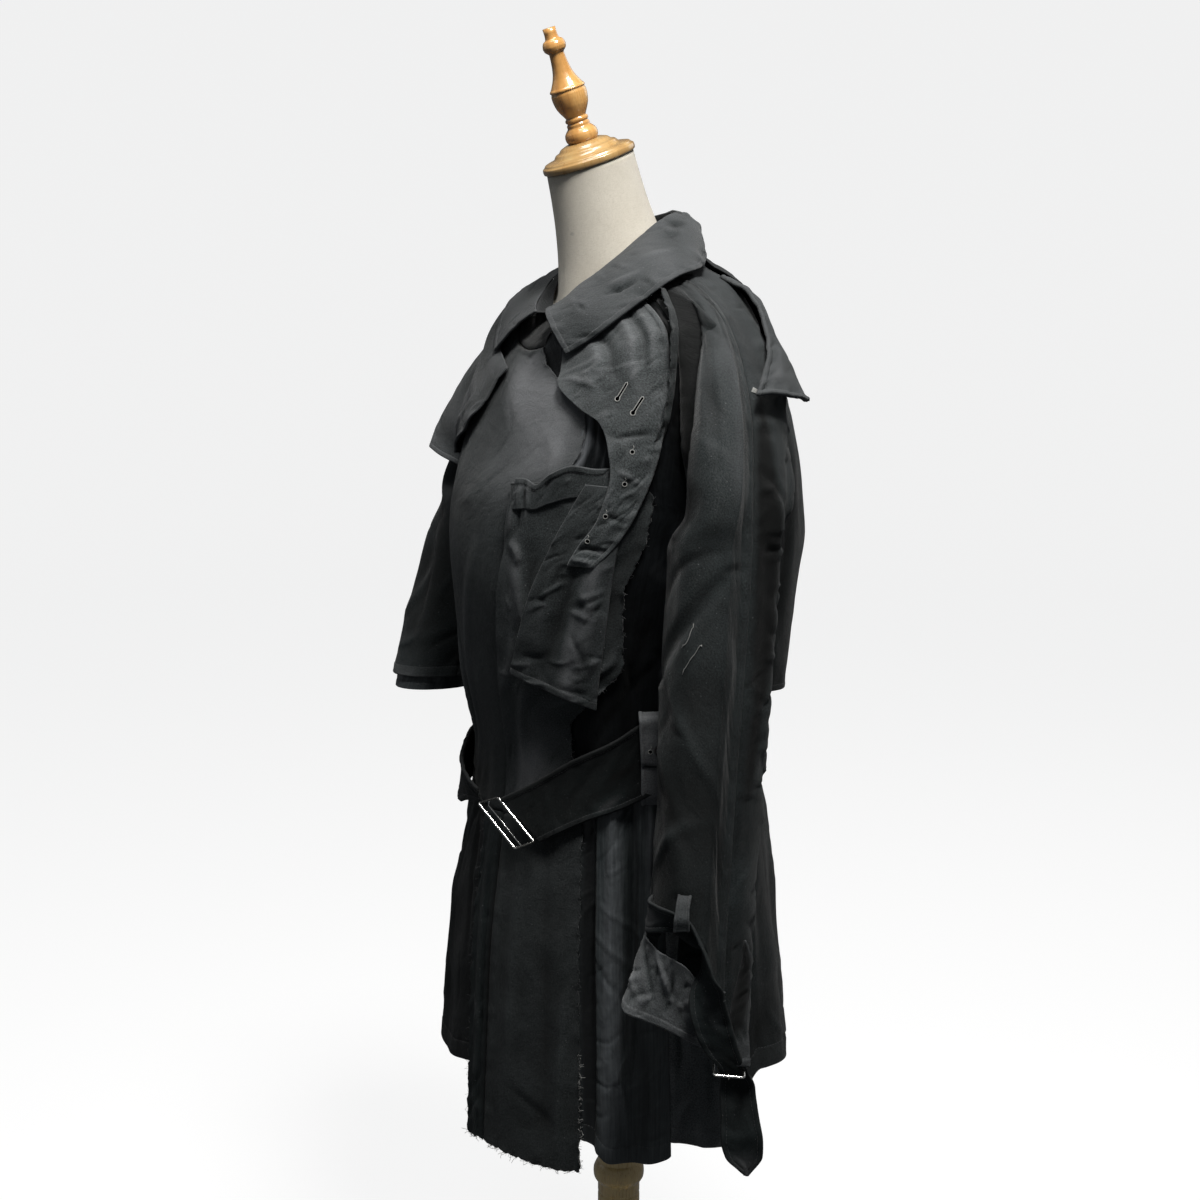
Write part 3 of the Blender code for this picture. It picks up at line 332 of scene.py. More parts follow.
form_base = spin(
    "stand_base",
    [
        (0.152, 0.0), (0.159, 0.004), (BASE_RADIUS, 0.012), (0.156, 0.018), (0.15, 0.0195),
        (0.1475, 0.0178), (0.146, BASE_HEIGHT), (0.062, BASE_HEIGHT + 0.004),
        (0.055, BASE_HEIGHT + 0.003), (0.044, BASE_HEIGHT + 0.0095), (0.042, BASE_HEIGHT + 0.013),
        (0.034, BASE_HEIGHT + 0.018),
    ],
    96,
)
stand_for(form_base, "form_base", upright_wood)
pole = spin(
    "stand_pole",
    [
        (POLE_RADIUS - 0.0006, BASE_HEIGHT + 0.0184), (POLE_RADIUS, 0.06), (POLE_RADIUS, 0.25),
        (POLE_RADIUS, BEAD_Z - 0.03), (POLE_RADIUS - 0.0012, BEAD_Z - 0.028),
        (POLE_RADIUS, BEAD_Z - 0.026), (POLE_RADIUS, BEAD_Z - 0.014), (0.0275, BEAD_Z - 0.012),
        (BEAD_RADIUS - 0.0006, BEAD_Z - 0.007), (BEAD_RADIUS, BEAD_Z - 0.001),
        (BEAD_RADIUS - 0.0004, BEAD_Z + 0.004), (0.029, BEAD_Z + 0.008), (0.0275, BEAD_Z + 0.011),
        (POLE_RADIUS, BEAD_Z + 0.013), (POLE_RADIUS, 0.56), (POLE_RADIUS, TORSO_FOOT - 0.0004),
    ],
    64,
)
stand_for(pole, "form_pole", upright_wood)
cap = spin(
    "neck_cap",
    [
        (0.0505, 0.0004), (0.0526, 0.0016), (0.053, 0.0045), (0.0526, 0.0074), (0.0502, 0.0088),
        (0.049, 0.0108), (0.044, 0.0122), (0.0384, 0.013), (0.0362, 0.0152), (0.0345, 0.0176),
        (0.03, 0.019), (0.0272, 0.0222), (0.0205, 0.0245),
    ],
    80, NECK_TOP, CAP_AXIS,
)
stand_for(cap, "form_cap", cap_wood)
finial = spin(
    "cap_finial",
    [
        (0.0165, 0.0248), (0.0182, 0.028), (0.0186, 0.0315), (0.0178, 0.0352), (0.015, 0.0386),
        (0.0127, 0.0408), (0.0129, 0.044), (0.0112, 0.0461), (0.013, 0.0476), (0.013, 0.0498),
        (0.0112, 0.0517), (0.0132, 0.0552), (0.016, 0.0599), (0.0181, 0.0645), (0.0192, 0.0691),
        (0.0198, 0.0737), (0.0198, 0.0783), (0.0188, 0.0811), (0.0201, 0.0826), (0.0196, 0.0842),
        (0.018, 0.0857), (0.0154, 0.0902), (0.013, 0.0949), (0.0109, 0.1008), (0.0095, 0.1078),
        (0.0087, 0.115), (0.0082, 0.1218), (0.01, 0.1234), (0.012, 0.1253), (0.0131, 0.129),
        (0.0124, 0.1325), (0.011, 0.1354), (0.0077, 0.1372), (0.007, 0.142), (0.0072, 0.1492),
    ],
    64, NECK_TOP, CAP_AXIS,
)
stand_for(finial, "form_finial", finial_wood)

# ---- The limbless form ----
# A moulded torso and neck under stretched off-white linen. It stands on the pole, the cap
# closes its neck, and the coat hangs on it.


class Table:
    """Rows of named columns, read smoothly between the rows by their first column."""

    def __init__(self, columns, rows):
        self.columns = columns.split()
        data = np.array(sorted(rows), float)
        self.key, self.data = data[:, 0], data[:, 1:]
        rise = np.diff(self.data, axis=0) / np.diff(self.key)[:, None]
        before, after = rise[:-1], rise[1:]
        same = before * after > 0
        both = np.where(same, before + after, 1.0)
        middle = np.where(same, 2 * before * after / both, 0.0)
        self.slope = np.concatenate([rise[:1], middle, rise[-1:]])

    def __call__(self, key):
        key = np.clip(np.asarray(key, float), self.key[0], self.key[-1])
        i = np.clip(np.searchsorted(self.key, key) - 1, 0, len(self.key) - 2)
        wide = (self.key[i + 1] - self.key[i])[..., None]
        t = (key - self.key[i])[..., None] / wide
        values = (
            self.data[i] * (1 + 2 * t) * (1 - t) ** 2 + self.data[i + 1] * t * t * (3 - 2 * t)
            + wide * t * (1 - t) * (self.slope[i] * (1 - t) - self.slope[i + 1] * t)
        )
        return dict(zip(self.columns[1:], np.moveaxis(values, -1, 0)))


def curve(*rows):
    """A smooth curve through (key, value) rows."""
    table = Table("key value", rows)
    return lambda key: table(key)["value"]


BODY_UP = [
    (1.46, 1.395, 1.455, 1.468, 0.07, 0.078, 0.068), (1.445, 1.375, 1.443, 1.455, 0.105, 0.098, 0.088),
    (1.42, 1.34, 1.425, 1.43, 0.165, 0.116, 0.108), (1.38, 1.31, 1.385, 1.385, 0.205, 0.132, 0.126),
    (1.3, 1.255, 1.3, 1.3, 0.215, 0.16, 0.14), (1.2, 1.19, 1.2, 1.2, 0.212, 0.187, 0.148),
]
BODY_DOWN = [  # from the bust down the rings are level all round
    (1.12, 0.205, 0.193, 0.146), (1.0, 0.193, 0.18, 0.14), (0.9, 0.188, 0.163, 0.145),
    (0.82, 0.196, 0.171, 0.157), (0.7, 0.214, 0.188, 0.172), (0.56, 0.228, 0.197, 0.184),
    (0.4, 0.238, 0.206, 0.192),
]
BODY = Table(
    "level front_z side_z back_z half_width front_depth back_depth",
    BODY_UP + [(level, level, level, level, *size) for level, *size in BODY_DOWN],
)
# Each fold's turn at the waist and at the hem and its half width in degrees, and its height at the hem.
SKIRT_FOLDS = [
    (-58, -66, 15, 0.011), (-80, -88, 11, -0.008), (-24, -22, 14, -0.007), (28, 27, 12, -0.003),
    (50, 52, 6, 0.006), (60, 61, 6, -0.006), (68, 70, 5, 0.004), (82, 84, 8, 0.006),
    (99, 103, 10, -0.008), (117, 121, 12, 0.011), (134, 136, 9, -0.009), (168, 172, 13, 0.01),
    (190, 190, 10, -0.008), (213, 209, 14, 0.011), (234, 231, 10, -0.009), (252, 252, 10, 0.008),
]
FOLD_TOP, FOLD_FOOT = 0.875, 0.5


def fold(turn, level):
    """How far the skirt's folds stand out of the body here."""
    share = np.clip((FOLD_TOP - level) / (FOLD_TOP - FOLD_FOOT), 0, 1)
    total = 0.0 * (turn + level)
    for top_turn, hem_turn, half_width, height in SKIRT_FOLDS:
        centre = between(top_turn, hem_turn, share)
        away = np.abs((turn - centre + 180) % 360 - 180)
        total = total + height * share * np.cos(np.clip(away / half_width, 0, 1) * math.pi / 2) ** 2
    return total


def ring_point(turn, level):
    ring = BODY(level)
    sine, cosine = np.sin(np.radians(turn)), np.cos(np.radians(turn))
    ahead = cosine > 0
    end_z = np.where(ahead, ring["front_z"], ring["back_z"])
    depth = np.where(ahead, ring["front_depth"], ring["back_depth"])
    out = fold(turn, level)
    x, y = (ring["half_width"] + out) * sine, -(depth + out) * cosine
    return np.stack([x, y, between(ring["side_z"], end_z, cosine**2)], -1)


def body(turn, level, lift=0.0):
    """The surface that the coat hangs on: turn in degrees from the centre front, level up its side."""
    turn, level, lift = np.broadcast_arrays(*(np.asarray(v, float) for v in (turn, level, lift)))
    across = ring_point(turn + 0.5, level) - ring_point(turn - 0.5, level)
    along = ring_point(turn, level + 0.002) - ring_point(turn, level - 0.002)
    return ring_point(turn, level) + unit(np.cross(across, along)) * lift[..., None]


def through(stack, count):
    """Evenly spaced rows drawn smoothly through a stack of rows."""
    stack = np.asarray(stack, float)
    rise = np.diff(stack, axis=0)
    slope = np.concatenate([rise[:1], (rise[:-1] + rise[1:]) / 2, rise[-1:]])
    at = np.linspace(0, len(stack) - 1, count)
    i = np.clip(at.astype(int), 0, len(stack) - 2)
    t = (at - i).reshape(-1, *[1] * (stack.ndim - 1))
    return (
        stack[i] * (1 + 2 * t) * (1 - t) ** 2 + stack[i + 1] * t * t * (3 - 2 * t)
        + slope[i] * t * (1 - t) ** 2 - slope[i + 1] * t * t * (1 - t)
    )


def flat_map(made, places):
    """Gives a mesh its UV map, one place in metres for each vertex."""
    mesh = made.data
    corners = np.empty(len(mesh.loops), np.int32)
    mesh.loops.foreach_get("vertex_index", corners)
    layer = mesh.uv_layers.new(name="flat")
    layer.data.foreach_set("uv", np.asarray(places, float)[corners].ravel())


TORSO_IN = curve((0.8, 0.04), (0.9, 0.022), (1.0, 0.022), (1.12, 0.018), (1.22, 0.011), (1.32, 0.0062),
                 (1.38, 0.0047), (1.46, 0.0047))
TORSO_LEVELS = [0.8, 0.86, 0.93, 1.0, 1.06, 1.12, 1.18, 1.24, 1.3, 1.34, 1.38, 1.41, 1.43, 1.445, 1.46]
NECK_FOOT = np.array([0.0, -0.004, 1.432])
torso_turns = np.linspace(0, 360, 96, endpoint=False)
rings = [body(torso_turns, level, -TORSO_IN(level)) for level in TORSO_LEVELS]
rings[0][:, 2] = TORSO_FOOT
sine, cosine = np.sin(np.radians(torso_turns)), np.cos(np.radians(torso_turns))
for share, radius in ((0.3, 0.059), (0.55, 0.0545), (0.8, 0.0515), (1.0, 0.05)):
    ring = np.stack(
        [radius * sine, -radius * cosine * math.cos(CAP_LEAN), -radius * cosine * math.sin(CAP_LEAN)], -1,
    )
    ring = ring + NECK_FOOT + (np.array(NECK_TOP) - NECK_FOOT) * share
    if share < 0.6:
        ring = ring * min(1.0, 0.4 + share) + between(rings[14], ring, share) * (0.6 - share)
    rings.append(ring)
TORSO_ROWS = 110
torso_grid = through(rings, TORSO_ROWS)
count = len(torso_turns)
faces = ring_faces(TORSO_ROWS, count)
points = np.concatenate([torso_grid.reshape(-1, 3), [torso_grid[0].mean(0), torso_grid[-1].mean(0)]])
last = (TORSO_ROWS - 1) * count
for c in range(count):
    faces.append((len(points) - 2, (c + 1) % count, c))
    faces.append((len(points) - 1, last + c, last + (c + 1) % count))
torso = piece("form_torso_linen", points, faces)
rise = np.linspace(0, 1, TORSO_ROWS)[:, None] * 0.8
torso_flat = np.stack([np.radians(torso_turns)[None] * 0.1 + 0 * rise, rise + 0 * torso_turns[None]], -1)
flat_map(torso, np.concatenate([torso_flat.reshape(-1, 2), [[0, 0], [0, 0.8]]]))

linen = Paint("off-white linen", (0.6, 0.56, 0.49), 0.92, Specular_IOR_Level=0.25, Sheen_Weight=0.15)
flat = linen.place("UV")
u, v, _ = linen.channels(flat)
THREAD = 2 * math.pi / 0.00085
warp, weft = (u * THREAD).sine(), (v * THREAD).sine()
slub_up = linen.noise(linen.place("UV", scale=(1.0, 0.12, 1.0)), 900.0, 2.0)
slub_across = linen.noise(linen.place("UV", scale=(0.12, 1.0, 1.0)), 900.0, 2.0)
weave = (warp * weft) * 0.25 + slub_up * 0.9 + slub_across * 0.9
patchy = linen.noise(linen.place("Object"), 22.0, 3.0, 0.6)
aged = linen.blend(((patchy - 0.4) * 2.2).clipped() * 0.45, (0.55, 0.515, 0.445), (0.36, 0.325, 0.265))
threads = linen.blend(((weave - 0.8) * 1.9).clipped() * 0.55, aged, (0.31, 0.275, 0.22))
STAIN_AT, STAIN_SIZE = (0.0188, -0.0746, 1.4843), (0.005, 0.006, 0.003)
spot_x, spot_y, spot_z = linen.channels(linen.place("Object"))
spot = sum(
    (
        ((axis - at) * (1 / size)) ** 2.0
        for axis, at, size in zip((spot_x, spot_y, spot_z), STAIN_AT, STAIN_SIZE)
    ),
    start=linen.noise(linen.place("Object"), 300.0) - 0.5,
)
stained = linen.blend((1.0 - spot).clipped() * 0.55, threads, (0.16, 0.15, 0.14))
linen.feed(Base_Color=stained, Normal=linen.bump(weave, 0.00035, 0.8))
stand_for(torso, "form_torso", linen)

# ---- The backs ----
# Two panels of black wool gabardine from the collar seam to the hem, sewn down the centre
# back, to the sleeves along the raglan seams and to the fronts down the sides.

STEP, WALL = 0.0038, 0.0013  # the mesh's spacing and the cloth's thickness
HEM_LIFT, STITCH_DIP, STITCH_IN = 0.00035, 0.0007, 0.0016
GRIP = 0.016  # how far from a sewn edge the cloth's own creases fade out


def soft(x):
    x = np.clip(x, 0, 1)
    return x * x * (3 - 2 * x)


def creased(x, y, rows):
    """Height of soft troughs and ridges, in metres, from rows of two ends, half width, height and bow.

    An eighth number, -1 to 1, makes a crease steep on one side and easy on the other.
    """
    total = np.zeros_like(x)
    for x0, y0, x1, y1, half_width, height, bow, *lean in rows:
        run = np.array([x1 - x0, y1 - y0])
        length = np.linalg.norm(run) + 1e-9
        run /= length
        along = (x - x0) * run[0] + (y - y0) * run[1]
        share = np.clip(along / length, 0, 1)
        beside = (x - x0) * -run[1] + (y - y0) * run[0] - bow * np.sin(math.pi * share)
        past = along - share * length
        reach = half_width * (1 + (lean[0] if lean else 0.0) * np.sign(beside))
        away = np.clip(np.hypot(beside, past) / reach, 0, 1)
        profile = 0.35 * (1 - away**2) ** 2 + 0.65 * (1 - away) ** 2
        total += height * profile * (0.25 + 0.75 * np.sin(math.pi * share) ** 0.8)
    return total


def rumple(seed, size, count, lean, length=0.045, half_width=0.007, height=0.0009):
    """Rows of small uneven creases scattered over a piece, lying mostly along lean, in degrees."""
    rng = np.random.default_rng(seed)
    rows = []
    for _ in range(count):
        x, y = rng.uniform(0, size[0]), rng.uniform(0, size[1])
        angle = math.radians(rng.normal(lean, 24.0))
        run = length * rng.uniform(0.4, 1.5) / 2
        across, up = math.cos(angle) * run, math.sin(angle) * run
        wide = half_width * rng.uniform(0.6, 1.5)
        tall = height * rng.uniform(0.3, 1.3) * rng.choice([-1.0, 1.0])
        bow, steep = rng.normal(0, 0.12) * run, rng.uniform(-0.6, 0.6)
        rows.append((x - across, y - up, x + across, y + up, wide, tall, bow, steep))
    return rows


def sway(seed, x, y, wavelength, height):
    """A slow uneven swell over the cloth."""
    rng = np.random.default_rng(seed)
    total = np.zeros_like(x)
    for _ in range(10):
        angle, phase = rng.uniform(0, 2 * math.pi, 2)
        pull = 2 * math.pi / (wavelength * rng.uniform(0.7, 1.7))
        total += np.cos((x * math.cos(angle) + y * math.sin(angle)) * pull + phase)
    return total * height / 3.2


def marks(kind, width):
    """Mesh lines near an edge, in metres from it, close enough for its fold and its stitched furrow."""
    near = [0.0, 0.0007, 0.0018, 0.0035]
    if kind == "hem":
        near += [width - STITCH_IN + d for d in (-0.0016, -0.0008, 0.0, 0.0008, 0.0016, 0.003)]
    return np.array(sorted(d for d in near if d >= 0.0))


def stations(length, first, last, count):
    """Shares along lines of these lengths: the marks by each end and even steps between them."""
    length = np.asarray(length, float)[:, None]
    a = first * np.minimum(1, 0.45 * length / max(first[-1], 1e-9))
    b = length - (last * np.minimum(1, 0.45 * length / max(last[-1], 1e-9)))[:, ::-1]
    even = np.linspace(0, 1, count + 2)[1:-1]
    return np.concatenate([a, between(a[:, -1:], b[:, :1], even), b], 1) / length


def at_edge(kind, width, away, along):
    """How a kind of edge moves the cloth near it."""
    ripple = np.sin(along / 0.0047) + np.sin(along / 0.0031 + 2.0) + np.sin(along / 0.0066 + 4.0)
    if kind == "hem":
        inside = soft((width - away) / 0.0015)
        furrow = np.exp(-(((away - width + STITCH_IN) / 0.001) ** 2))
        pucker = ripple * np.exp(-(((away - width) / 0.007) ** 2))
        return HEM_LIFT * inside - STITCH_DIP * furrow + 0.0003 * pucker
    if kind == "sewn":
        pucker = 0.00022 * ripple * np.exp(-(((away - 0.007) / 0.006) ** 2))
        ridge = 0.0007 * np.exp(-(((away - 0.0055) / 0.0035) ** 2))
        groove = 0.0009 * np.exp(-((away / 0.0014) ** 2))
        return ridge - groove + pucker
    if kind == "raw":
        return 0.00045 * ripple * np.exp(-((away / 0.006) ** 2))
    return 0.0


SIDES = ("left", "right", "foot", "head")
SHORTEST_SEAM, THREAD_LIFT = 0.02, 0.00012  # how long a stitched line is at least, and how high thread lies
CREASE_DEPTH, RUMPLE_DEPTH = 1.55, 2.1  # how much deeper than written all creases are pressed
stitch_lines, raw_lines = [], {}  # where thread shows and where threads fray, noted as pieces are sewn


def edged(words):
    """Each side's kind and hem width, from words in the order of SIDES; a hem's are in millimetres."""
    kinds = [(*word.split(), 0)[:2] for word in words.split(",")]
    return {side: (kind, float(width) / 1000) for side, (kind, width) in zip(SIDES, kinds)}


def frayed(u, v, width, height, away, along, edges):
    """The shares across and up a piece, moved in where a raw edge has lost its outer threads."""
    for side, sign in zip(SIDES, (1, -1, 1, -1)):
        if edges[side][0] != "raw":
            continue
        t = along[side]
        bite = 0.0007 * (np.sin(t / 0.0023 + 1) + np.sin(t / 0.0013) + np.sin(t / 0.0057 + 3)) + 0.0009
        bite = sign * bite * np.exp(-away[side] / 0.004)
        if side in ("left", "right"):
            u = u + bite / width
        else:
            v = v + bite / height
    return np.clip(u, 0, 1), np.clip(v, 0, 1)


def in_metres(row, wide, tall):
    """A row's two ends, from per cent of the piece, and its half width, from mm, all in metres."""
    a, b, c, d, half_width = row[:5]
    return a / 100 * wide, b / 100 * tall, c / 100 * wide, d / 100 * tall, half_width / 1000


def normals_of(grid):
    """The normals of a grid of points, longer where its cells are bigger."""
    return np.cross(np.gradient(grid, axis=1), np.gradient(grid, axis=0))


def shell(name, grid, normal, half):
    """Two walls round a grid, closed by a rounded rim, and the indices of the grid's points on that rim."""
    rows, cols = grid.shape[:2]
    index = np.arange(rows * cols).reshape(rows, cols)
    rim = np.concatenate([index[:, 0], index[-1, 1:], index[-2::-1, -1], index[0, -2:0:-1]])
    inner = np.clip(np.stack(np.unravel_index(rim, (rows, cols))), 1, [[rows - 2], [cols - 2]])
    middle, facing = grid.reshape(-1, 3), normal.reshape(-1, 3)
    past = middle[rim] - grid[inner[0], inner[1]]
    past -= facing[rim] * np.sum(past * facing[rim], -1, keepdims=True)
    round_edge = middle[rim] + unit(past) * half[rim] * 0.9
    points = np.concatenate([middle + facing * half, middle - facing * half, round_edge])
    a, b = index[:-1, :-1].ravel(), index[:-1, 1:].ravel()
    c, d = index[1:, 1:].ravel(), index[1:, :-1].ravel()
    total = rows * cols
    mid, after = np.arange(len(rim)) + 2 * total, np.roll(rim, -1)
    mid_after = np.roll(mid, -1)
    quads = [np.stack([a, b, c, d], 1), np.stack([d, c, b, a], 1) + total,
             np.stack([rim, after, mid_after, mid], 1),
             np.stack([mid, mid_after, after + total, rim + total], 1)]
    return piece(name, points, np.concatenate(quads).tolist()), rim


def keep_lines(name, edges, away, grid, outer):
    """Notes where a finished piece is stitched and where its threads fray."""
    rows, cols = grid.shape[:2]
    for side in SIDES:
        kind, hem = edges[side]
        if kind not in ("hem", "raw"):
            continue
        level = side in ("foot", "head")
        off = np.abs(away[side] - (hem - STITCH_IN if kind == "hem" else 0.0))
        spot = off.argmin(axis=0 if level else 1)
        line = outer[spot, np.arange(cols)] if level else outer[np.arange(rows), spot]
        if kind == "raw":
            near = {"left": grid[:, 1], "right": grid[:, -2], "foot": grid[1], "head": grid[-2]}[side]
            edge = {"left": grid[:, 0], "right": grid[:, -1], "foot": grid[0], "head": grid[-1]}[side]
            raw_lines[name, side] = line, unit(edge - near)
        elif np.linalg.norm(np.diff(line, axis=0), axis=-1).sum() > SHORTEST_SEAM:
            stitch_lines.append(line[1:-1])


def cloth(
    name, place, edges, inside=(0.0, 0.0, 1.0), step=STEP, wall=WALL, creases=(), rumpled=None,
    swell=None, painted_tone=0.0, painted_light_rows=(),
):
    """A closed thin shell on a surface: place takes shares across and up it, edges names its four sides.

    creases has rows of two ends, in per cent across and up the piece, then half width, height and bow in
    millimetres. dye paints the whole piece paler as painted light, or below 0 deeper as painted shade, and
    painted_light_rows has rows like a crease's with a painted paler or deeper share in place of height and
    bow.
    """
    edges = edged(edges)
    probe = np.linspace(0, 1, 61)
    coarse = place(*np.meshgrid(probe, probe))
    over = np.linalg.norm(np.diff(coarse, axis=1), axis=-1)
    up = np.linalg.norm(np.diff(coarse, axis=0), axis=-1)
    reach_u = np.concatenate([[0], over.mean(0).cumsum()])
    reach_v = np.concatenate([[0], up.mean(1).cumsum()])
    wide, tall = over.sum(1), up.sum(0)
    columns, rows = max(2, int(wide.max() / step)), max(2, int(tall.max() / step))
    left, right, foot, head = (marks(*edges[side]) for side in SIDES)
    mean_u = stations([wide.mean()], left, right, columns)[0]
    mean_v = stations([tall.mean()], foot, head, rows)[0]
    width_here = np.interp(np.interp(mean_v, reach_v / reach_v[-1], probe), probe, wide)
    height_here = np.interp(np.interp(mean_u, reach_u / reach_u[-1], probe), probe, tall)
    u = stations(width_here, left, right, columns)
    v = stations(height_here, foot, head, rows).T
    width, height = width_here[:, None] + 0 * u, height_here[None, :] + 0 * v
    away = {"left": u * width, "right": (1 - u) * width, "foot": v * height, "head": (1 - v) * height}
    along = {"left": away["foot"], "right": away["foot"], "foot": away["left"], "head": away["left"]}
    torn_u, torn_v = frayed(u, v, width, height, away, along, edges)
    grid = place(np.interp(torn_u, reach_u / reach_u[-1], probe),
                 np.interp(torn_v, reach_v / reach_v[-1], probe))
    normal = unit(normals_of(grid))
    if np.sum(normal * (grid - np.array(inside))) < 0:
        normal = -normal

    wide, tall = wide.mean(), tall.mean()
    x, y = u * wide, v * tall
    pressed = [(*in_metres(row, wide, tall), row[5] / 1000, row[6] / 1000, *row[7:]) for row in creases]
    lift = CREASE_DEPTH * creased(x, y, pressed)
    if rumpled is not None:
        lift += RUMPLE_DEPTH * creased(x, y, rumple(rumpled[0], (wide, tall), *rumpled[1:]))
    if swell is not None:
        lift += sway(swell[0], x, y, swell[1], swell[2])
    # Painted light and shade: ridges are painted paler as a highlight and troughs deeper as shade, the
    # whole piece is painted paler or deeper by dye, and rows of painted_light_rows paint patches of light
    # or shade.
    worn_and_painted_light = [(*in_metres(row, wide, tall), row[5], 0.0) for row in painted_light_rows]
    painted_light_share = np.clip(np.clip(lift * 110, -0.45, 0.35) + painted_tone + creased(x, y, worn_and_painted_light), -1, 1).ravel()
    for side in SIDES:
        if edges[side][0] == "sewn":
            lift = lift * soft(away[side] / GRIP)
    for side in SIDES:
        lift = lift + at_edge(*edges[side], away[side], along[side])
    grid = grid + normal * lift[..., None]
    creased_normal = normals_of(grid)
    normal = unit(creased_normal) * np.sign(np.sum(normal * creased_normal))

    turned = sum((edges[s][0] == "hem") * soft((edges[s][1] - away[s]) / 0.002) for s in SIDES)
    half = np.minimum(wall * (1 + 0.5 * turned), wall * 1.6).reshape(-1, 1) / 2
    made, rim = shell(name, grid, normal, half)
    places = np.stack([((u - 0.5) * width).ravel(), away["foot"].ravel()], 1)
    flat_map(made, np.concatenate([places, places, places[rim]]))
    # Turned and free edges are painted paler: partly wear, partly a painted highlight where the folded edge
    # catches the light.
    worn = sum(np.exp(-away[s] / 0.0022) for s in SIDES if edges[s][0] in ("hem", "free"))
    worn = np.clip(worn + np.zeros_like(u), 0, 1).ravel()
    for title, values in (("worn", worn), ("faded", painted_light_share)):
        mark = made.data.attributes.new(title, "FLOAT", "POINT")
        mark.data.foreach_set("value", np.concatenate([values, values, values[rim]]))
    keep_lines(name, edges, away, grid, grid + normal * (half + THREAD_LIFT).reshape(*u.shape, 1))
    return made


def gabardine(name, deep, lit, nap_depth, sheen, crumpled=0.0021):
    """Black wool gabardine: a fine twill with a short uneven nap, and painted light and shade: paler on
    upward faces as painted top light, paler or deeper as each piece paints it, and paler along its edges,
    partly as wear and partly as a painted highlight.
    """
    wool = Paint(name, deep, 0.8, Specular_IOR_Level=0.2, Sheen_Weight=sheen, Sheen_Roughness=0.4)
    u, v, _ = wool.channels(wool.place("UV"))
    twill = ((u + v * 1.3) * (2 * math.pi / 0.0013)).sine()
    nap = wool.noise(wool.place("UV"), 560.0, 3.0, 0.75)
    cloudy = wool.noise(wool.place("Object"), 34.0, 4.0, 0.66, 0.5)
    smudge = wool.noise(wool.place("Object"), 9.0, 2.0, 0.5)
    speck = wool.noise(wool.place("UV"), 480.0, 0.0)
    tone = (nap * 1.8 + cloudy * 0.6 + smudge * 0.3 - 1.07) * 1.9
    grained = wool.blend(tone.clipped(), deep, lit)
    linty = wool.blend(((speck - 0.8) * 14.0).clipped() * 0.4, grained, (0.26, 0.26, 0.27))
    # A neutral pale grey that paints lit cloth.
    painted_light_grey = (lit[1] * 0.97, lit[1], lit[2] * 1.02)
    # Painted top light: faces turned upward are painted paler.
    facing_up = wool.channels(wool.place("Normal"))[2]
    top_lit = wool.blend(
        ((facing_up - 0.15) * 1.4).clipped() * 0.35, linty, tuple(c * 1.6 + 0.004 for c in painted_light_grey),
    )
    # Painted light and shade: paler where a piece is painted lit, deeper where it is painted shaded.
    painted_light_share = wool.mark("faded")
    pale = wool.blend(painted_light_share.clipped() * (nap * 1.4 + 0.2), top_lit, tuple(c * 2.7 + 0.006 for c in painted_light_grey))
    kept = wool.blend((painted_light_share * -1.0).clipped(), pale, tuple(c * 0.22 for c in deep))
    # Paler along the edges: partly wear, partly a painted highlight on the folded edge.
    worn_and_painted_light = wool.blend(wool.mark("worn") * 0.2, kept, tuple(c * 1.7 for c in painted_light_grey))
    crumple = wool.noise(wool.place("UV"), 62.0, 4.0, 0.6, 0.3)
    weave = wool.bump(twill * 0.25 + nap, nap_depth, 1.0)
    wool.feed(Base_Color=worn_and_painted_light, Roughness=cloudy * 0.2 + 0.66,
              Normal=wool.bump(crumple, crumpled, 0.55, weave))
    return wool


# One gabardine in three tones: the paler copy paints light on lit pieces and the darker copy paints shade
# on shaded ones.
coat = gabardine("black wool gabardine", (0.004, 0.006, 0.0063), (0.0332, 0.0382, 0.0394), 0.00034, 0.08)
faded = gabardine("black wool gabardine, faded", (0.007, 0.0092, 0.0096), (0.0595, 0.0675, 0.069),
                  0.00036, 0.12, 0.003)
painted_shade = gabardine("black wool gabardine, unfaded", (0.0012, 0.003, 0.0032), (0.0078, 0.0124, 0.0128),
                    0.0003, 0.03)

WAIST_LINE = curve((0, 0.842), (10, 0.845), (30, 0.864), (50, 0.886), (70, 0.908), (90, 0.92), (180, 0.925))
SEAM = 0.0003


def waist(turn):
    return WAIST_LINE(np.abs((np.asarray(turn, float) + 180) % 360 - 180))


def cinch(turn, level, depth):
    """Short upright pleats where the belt draws the cloth in."""
    pleats = np.sin(turn * 0.52) + np.sin(turn * 0.37 + 1.0) + 0.7 * np.sin(turn * 0.81 + 2.0)
    return depth * pleats * np.exp(-(((level - waist(turn) - 0.01) / 0.055) ** 2))


BACK_TOP = curve((90.2, 1.186), (98.0, 1.2), (107.0, 1.235), (112.5, 1.275), (119.0, 1.32),
                 (126.0, 1.372), (132.0, 1.41), (137.0, 1.436), (141.5, 1.459), (180.0, 1.4594))
BACK_HEM = curve((90, 0.492), (97, 0.5), (103, 0.54), (109, 0.562), (180, 0.556))
BACK_CREASES = [(10, 52, 30, 40, 20, -3, 4), (55, 50, 35, 37, 18, -2.4, -4), (75, 38, 62, 16, 24, 3, 5),
                (90, 36, 93, 8, 22, -3, 3), (25, 36, 22, 12, 20, 2.8, -4), (45, 30, 50, 4, 18, -2.2, 6),
                (12, 62, 60, 56, 22, 2.2, 10)]
SIDE_TURN, CENTRE_TURN = 90.2, 179.9


